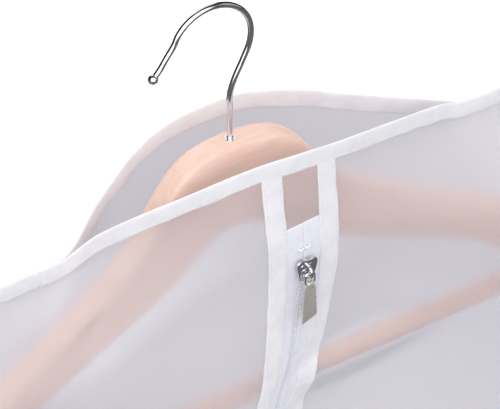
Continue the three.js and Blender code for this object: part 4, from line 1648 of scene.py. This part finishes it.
# -------------------------------------------------------------------------------- hanger
@dataclass
class Hanger:
    """The contoured wooden arms, the round bar and the small metal ferrule."""

    stem_x: float
    head_z: float
    half_width: float = 215 * MM
    forward: float = 26 * MM
    half_thick: tuple[float, float] = (8 * MM, 7.5 * MM)
    squareness: float = 6.0
    top: tuple = ((0, 0), (14, -0.3), (24, -2.6), (33, -8.5), (41, -18), (50, -31), (60, -43.5), (75, -54),
                  (100, -68), (133, -84), (175, -104), (200, -118), (210, -127), (215, -139))
    under: tuple = ((0, -50), (10, -51), (18, -57), (26, -63), (34, -68), (43, -72.8), (55, -78.2),
                    (67, -83.2), (80, -87.8), (97, -94.7), (115, -101.8), (133, -109), (150, -123),
                    (165, -142), (178, -153), (195, -156.5), (208, -155), (215, -147))
    bar_reach: float = 178 * MM
    bar_yz: tuple[float, float] = (-20.5 * MM, -147 * MM)
    bar_radius: float = 5.5 * MM

    def profile(self, outline: tuple, distance: float) -> float:
        """The outline's height above the head's top, smoothed between its corners.

        Args:
            outline: its (distance from the stem, height) corners in millimetres.
            distance: where it is read, in metres.

        Returns:
            The height, which is below nought.
        """
        xs = np.array([p[0] for p in outline]) * MM
        zs = np.array([p[1] for p in outline]) * MM
        reach = 5 * MM * min(1.0, (self.half_width - distance) / (12 * MM) + 0.05)
        near = np.abs(distance + np.linspace(-reach, reach, 15))
        return float(np.interp(np.clip(near, 0, self.half_width), xs, zs).mean())

    def thickness(self, distance: np.ndarray) -> np.ndarray:
        """Half the arm's thickness at a distance from the stem."""
        share = distance / self.half_width
        return self.half_thick[0] * (1 - share) + self.half_thick[1] * share

    def lean(self, distance: np.ndarray) -> np.ndarray:
        """How far the arm has curved forward at a distance from the stem."""
        return self.forward * (np.clip(distance, 0, None) / self.half_width) ** 1.3

    def front_limit(self, x: np.ndarray, z: np.ndarray) -> np.ndarray:
        """The furthest back that film can lie in front of the hanger.

        Args:
            x: places across.
            z: heights.

        Returns:
            The wood's front face there, or a far place where there is no wood.
        """
        d = np.abs(np.asarray(x) - self.stem_x)
        inside = np.clip(d, 0, self.half_width)
        top, under = (self.head_z + np.interp(inside / MM, [p[0] for p in line], [p[1] for p in line]) * MM
                      for line in (self.top, self.under))
        apart = np.clip(np.maximum(z - top, under - z), 0, None) + np.clip(d - self.half_width, 0, None)
        arm = -self.lean(inside) - self.thickness(inside) + 0.8 * apart + 9 * apart ** 2
        height = np.abs(z - self.head_z - self.bar_yz[1])
        past = np.clip(height - 3 * MM, 0, None) + np.clip(d - self.bar_reach, 0, None)
        bar = self.bar_yz[0] - self.bar_radius + 0.3 * past + 9 * past ** 2
        return np.minimum(arm, bar)

    def ring(self, across: float, sides: int = 44) -> list[Vector]:
        """The wood's section.

        Args:
            across: its distance from the stem, below nought to the left.
            sides: how many points it has.

        Returns:
            The section's points.
        """
        distance = abs(across)
        top = self.head_z + self.profile(self.top, distance)
        under = self.head_z + self.profile(self.under, distance)
        near_tip = max(0.0, (distance - self.half_width + 9 * MM) / (9 * MM))
        thick = float(self.thickness(distance)) * max(math.sqrt(max(0.0, 1 - near_tip ** 2)), 0.25)
        y = -float(self.lean(distance))
        power = 2 / self.squareness
        ring = []
        for i in range(sides):
            turn = (i + 0.5) / sides * FULL_TURN
            c, s = math.cos(turn), math.sin(turn)
            ring.append(Vector((self.stem_x + across, y + thick * math.copysign(abs(c) ** power, c),
                                (top + under) / 2 + (top - under) / 2 * math.copysign(abs(s) ** power, s))))
        return ring

    def build(self, kit: Kit) -> None:
        """Makes and dresses the hanger."""
        half = stations((0.0, 70 * MM, 2 * MM), (70 * MM, 195 * MM, 4 * MM),
                        (195 * MM, self.half_width - 0.3 * MM, 1.2 * MM))
        places = [-d for d in half[:0:-1]] + list(half)
        arms = loft("hanger_wood", [self.ring(float(d)) for d in places])
        kit.finish(arms, kit.palette.wood, "wood", "bag", "hanger_arm_left", "hanger_arm_right")
        low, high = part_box("trouser_bar")
        middle = ((low[1] + high[1]) / 2, (low[2] + high[2]) / 2)
        xs = np.linspace(low[0], high[0], 60)
        bar = tube("round_bar", [Vector((x, *middle)) for x in xs], self.bar_radius, 40)
        kit.finish(bar, kit.palette.wood, "wood", "bag", "trouser_bar")
        for name in ("hanger_dowel_upper", "hanger_dowel_lower"):
            kit.carry(name, kit.palette.wood)
        kit.carry("hook_ferrule", kit.palette.chrome)


@dataclass
class Hook:
    """The chrome wire hook with its ball tip and end nut."""

    stem_x: float
    head_z: float
    wire: float = 1.5 * MM
    radius: float = 21.3 * MM
    ball: float = 2.5 * MM

    def path(self) -> list[Vector]:
        """The wire's middle line, from the tip over the crown and down the stem."""
        crown = -(self.radius - self.wire)
        points = [Vector((-29.6 * MM, 0, -25.4 * MM)), Vector((-27.3 * MM, 0, -22.8 * MM)),
                  Vector((-24.6 * MM, 0, -18.8 * MM))]
        for angle in range(160, -6, -15):
            turn = math.radians(angle)
            points.append(Vector((self.radius * math.cos(turn), 0, crown + self.radius * math.sin(turn))))
        points += [Vector((x * MM, 0, z * MM)) for x, z in ((20.2, -27.2), (16.5, -35.5), (12.2, -44.3))]
        points += [Vector((self.stem_x + 0.1 * MM, 0, -52 * MM)), Vector((self.stem_x, 0, -60 * MM)),
                   Vector((self.stem_x, 0, -90 * MM)), Vector((self.stem_x, 0, self.head_z - 52 * MM))]
        return points

    def build(self, kit: Kit) -> None:
        """Makes and dresses the hook."""
        line = catmull(self.path(), 260)
        wire = tube("hook_bright_wire", line, self.wire, 28)
        kit.finish(wire, kit.palette.chrome, "chrome", "hook", "hook_wire")
        outward = (line[0] - line[1]).normalized()
        middle = line[0] + outward * (self.ball - 0.2 * MM)
        rings = []
        for t in np.linspace(0.02, math.pi - 0.02, 24):
            rings.append((middle - outward * self.ball * math.cos(t), self.ball * math.sin(t)))
        ball = tube("hook_ball", [p for p, _ in rings], [r for _, r in rings], 32)
        kit.finish(ball, kit.palette.chrome, "chrome", "hook", "hook_ball_tip")
        kit.carry("hook_end_nut", kit.palette.chrome)


# -------------------------------------------------------------------------------- stage
@dataclass
class Stage:
    """A pale floor, soft lights and the camera."""

    floor_z: float = -1.45
    floor_half: float = 12.0
    aim: Point = (6.85 * MM, -22.36 * MM, -102.2 * MM)
    azimuth: float = -32.0
    elevation: float = 40.0
    distance: float = 1.4
    lens: float = 213.7
    paper: tuple = colour(0.42, 0.42, 0.43)
    # Painted reflection: the floor's colour as glossy surfaces see it, dark so that the chrome shows dark
    # reflections.
    painted_dark_reflection: tuple = colour(0.1, 0.1, 0.1)
    ambient: tuple = colour(0.97, 0.97, 0.99)
    behind: tuple = colour(0.44, 0.44, 0.485)
    flag_way: Point = (-0.45, -0.75, 0.48)
    flag: tuple[float, float, float, float] = (0.5, 0.72, -0.99, -0.95)
    flag_dark: tuple = colour(0.02, 0.02, 0.025)
    bright: tuple = colour(1.6, 1.6, 1.62)
    lamps: tuple = (("key", (-1.4, -1.9, 1.6), 3.4, 30), ("fill", (2.2, -1.2, 0.9), 2.2, 6),
                    ("back", (0.6, 2.2, 1.2), 1.8, 10))

    def build(self) -> None:
        """Makes the floor, the world, the lights and the camera."""
        self.floor()
        self.world()
        for lamp in self.lamps:
            self.softbox(*lamp)
        self.camera()

    def floor(self) -> None:
        """A wide pale floor well below the bag, evenly bright to the camera, and painted dark where shiny
        surfaces reflect it.
        """
        half = self.floor_half
        corners = ((-half, -half), (half, -half), (half, half), (-half, half))
        points = np.array([(x, y, self.floor_z) for x, y in corners])
        floor = mesh_object("floor", points, [(0, 1, 2, 3)])
        material, n, shader = new_material("pale floor")
        tone = placed(n, mottle_group(), First=self.paper, Second=self.paper, Scale=2.0, Low=0.8, High=0.9)
        rays = n.add("LightPath")
        # Painted reflection: to glossy rays the floor is dark, which paints dark reflections into the chrome
        # and the other shiny surfaces.
        paper = n.mix(rays.outputs["Is Glossy Ray"], tone.outputs["Colour"], self.painted_dark_reflection)
        n.feed(shader, "Base Color", paper)
        n.feed(shader, "Roughness", tone.outputs["Value"])
        glow = n.mix(rays.outputs["Is Transmission Ray"], colour(0, 0, 0), self.behind)
        n.feed(shader, "Emission Color", n.mix(rays.outputs["Is Camera Ray"], glow, colour(1, 1, 1)))
        shader.inputs["Emission Strength"].default_value = 1.0
        floor.data.materials.append(material)

    def world(self) -> None:
        """A white surround to the camera, softer light on the bag, and dark flags for the metal."""
        world = bpy.data.worlds.new("studio")
        bpy.context.scene.world = world
        world.use_nodes = True
        n = Nodes(world.node_tree)
        shade = world.node_tree.nodes["Background"]
        way = n.add("TexCoord").outputs["Generated"]
        towards = n.add("VectorMath", {"operation": "DOT_PRODUCT"})
        n.feed(towards, 0, way)
        n.feed(towards, 1, self.flag_way)
        across = towards.outputs["Value"]
        front = n.spread(across, self.flag[0], self.flag[1])
        rear = n.spread(across, self.flag[2], self.flag[3], 1.0, 0.0)
        bright = n.math("ADD", front, rear, clamp=True)
        rays = n.add("LightPath")
        shown = n.mix(bright, self.flag_dark, self.bright)
        soft = n.mix(rays.outputs["Is Glossy Ray"], self.ambient, shown)
        soft = n.mix(rays.outputs["Is Transmission Ray"], soft, self.behind)
        n.feed(shade, "Color", n.mix(rays.outputs["Is Camera Ray"], soft, colour(1, 1, 1)))
        shade.inputs["Strength"].default_value = 1.0

    def softbox(self, name: str, place: Point, size: float, power: float) -> None:
        """A square soft light that faces the bag.

        Args:
            name: the light's name.
            place: where it stands.
            size: the length of its sides.
            power: its power in watts.
        """
        data = bpy.data.lights.new(name, "AREA")
        data.shape, data.size, data.energy = "SQUARE", size, power
        lamp = linked(name, data)
        lamp.location = place
        lamp.rotation_euler = (Vector(self.aim) - Vector(place)).to_track_quat("-Z", "Y").to_euler()

    def camera(self) -> None:
        """The camera, at the left front and above."""
        a, e = math.radians(self.azimuth), math.radians(self.elevation)
        back = Vector((math.sin(a) * math.cos(e), -math.cos(a) * math.cos(e), math.sin(e)))
        data = bpy.data.cameras.new("camera")
        data.lens, data.sensor_width = self.lens, 36.0
        data.clip_start, data.clip_end = 0.05, 60
        camera = linked("camera", data)
        camera.location = Vector(self.aim) + back * self.distance
        camera.rotation_mode = "QUATERNION"
        camera.rotation_quaternion = (-back).to_track_quat("-Z", "Y")
        bpy.context.scene.camera = camera


def main() -> None:
    """Builds the bag's looks on the frame, in order."""
    logging.basicConfig(level=logging.INFO, format="%(message)s")
    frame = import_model()
    bpy.context.scene.view_settings.view_transform = "Standard"
    joints = frame["record"]["behaviour"]["joints"]
    shape = BagShape.from_frame(joints)
    hanger = Hanger(shape.stem_x, shape.head_z)
    drape = Drape(shape, hanger)
    kit = Kit(Palette(), frame["nodes"])
    Stage().build()
    Hook(shape.stem_x, shape.head_z).build(kit)
    hanger.build(kit)
    FilmPanels(drape).build(kit)
    edging = Edging(drape)
    edging.build(kit)
    Zip(drape, edging).build(kit)
    Slider(shape).build(kit)
    log.info("%d pieces made", len(kit.made))


if __name__ == "__main__":
    main()
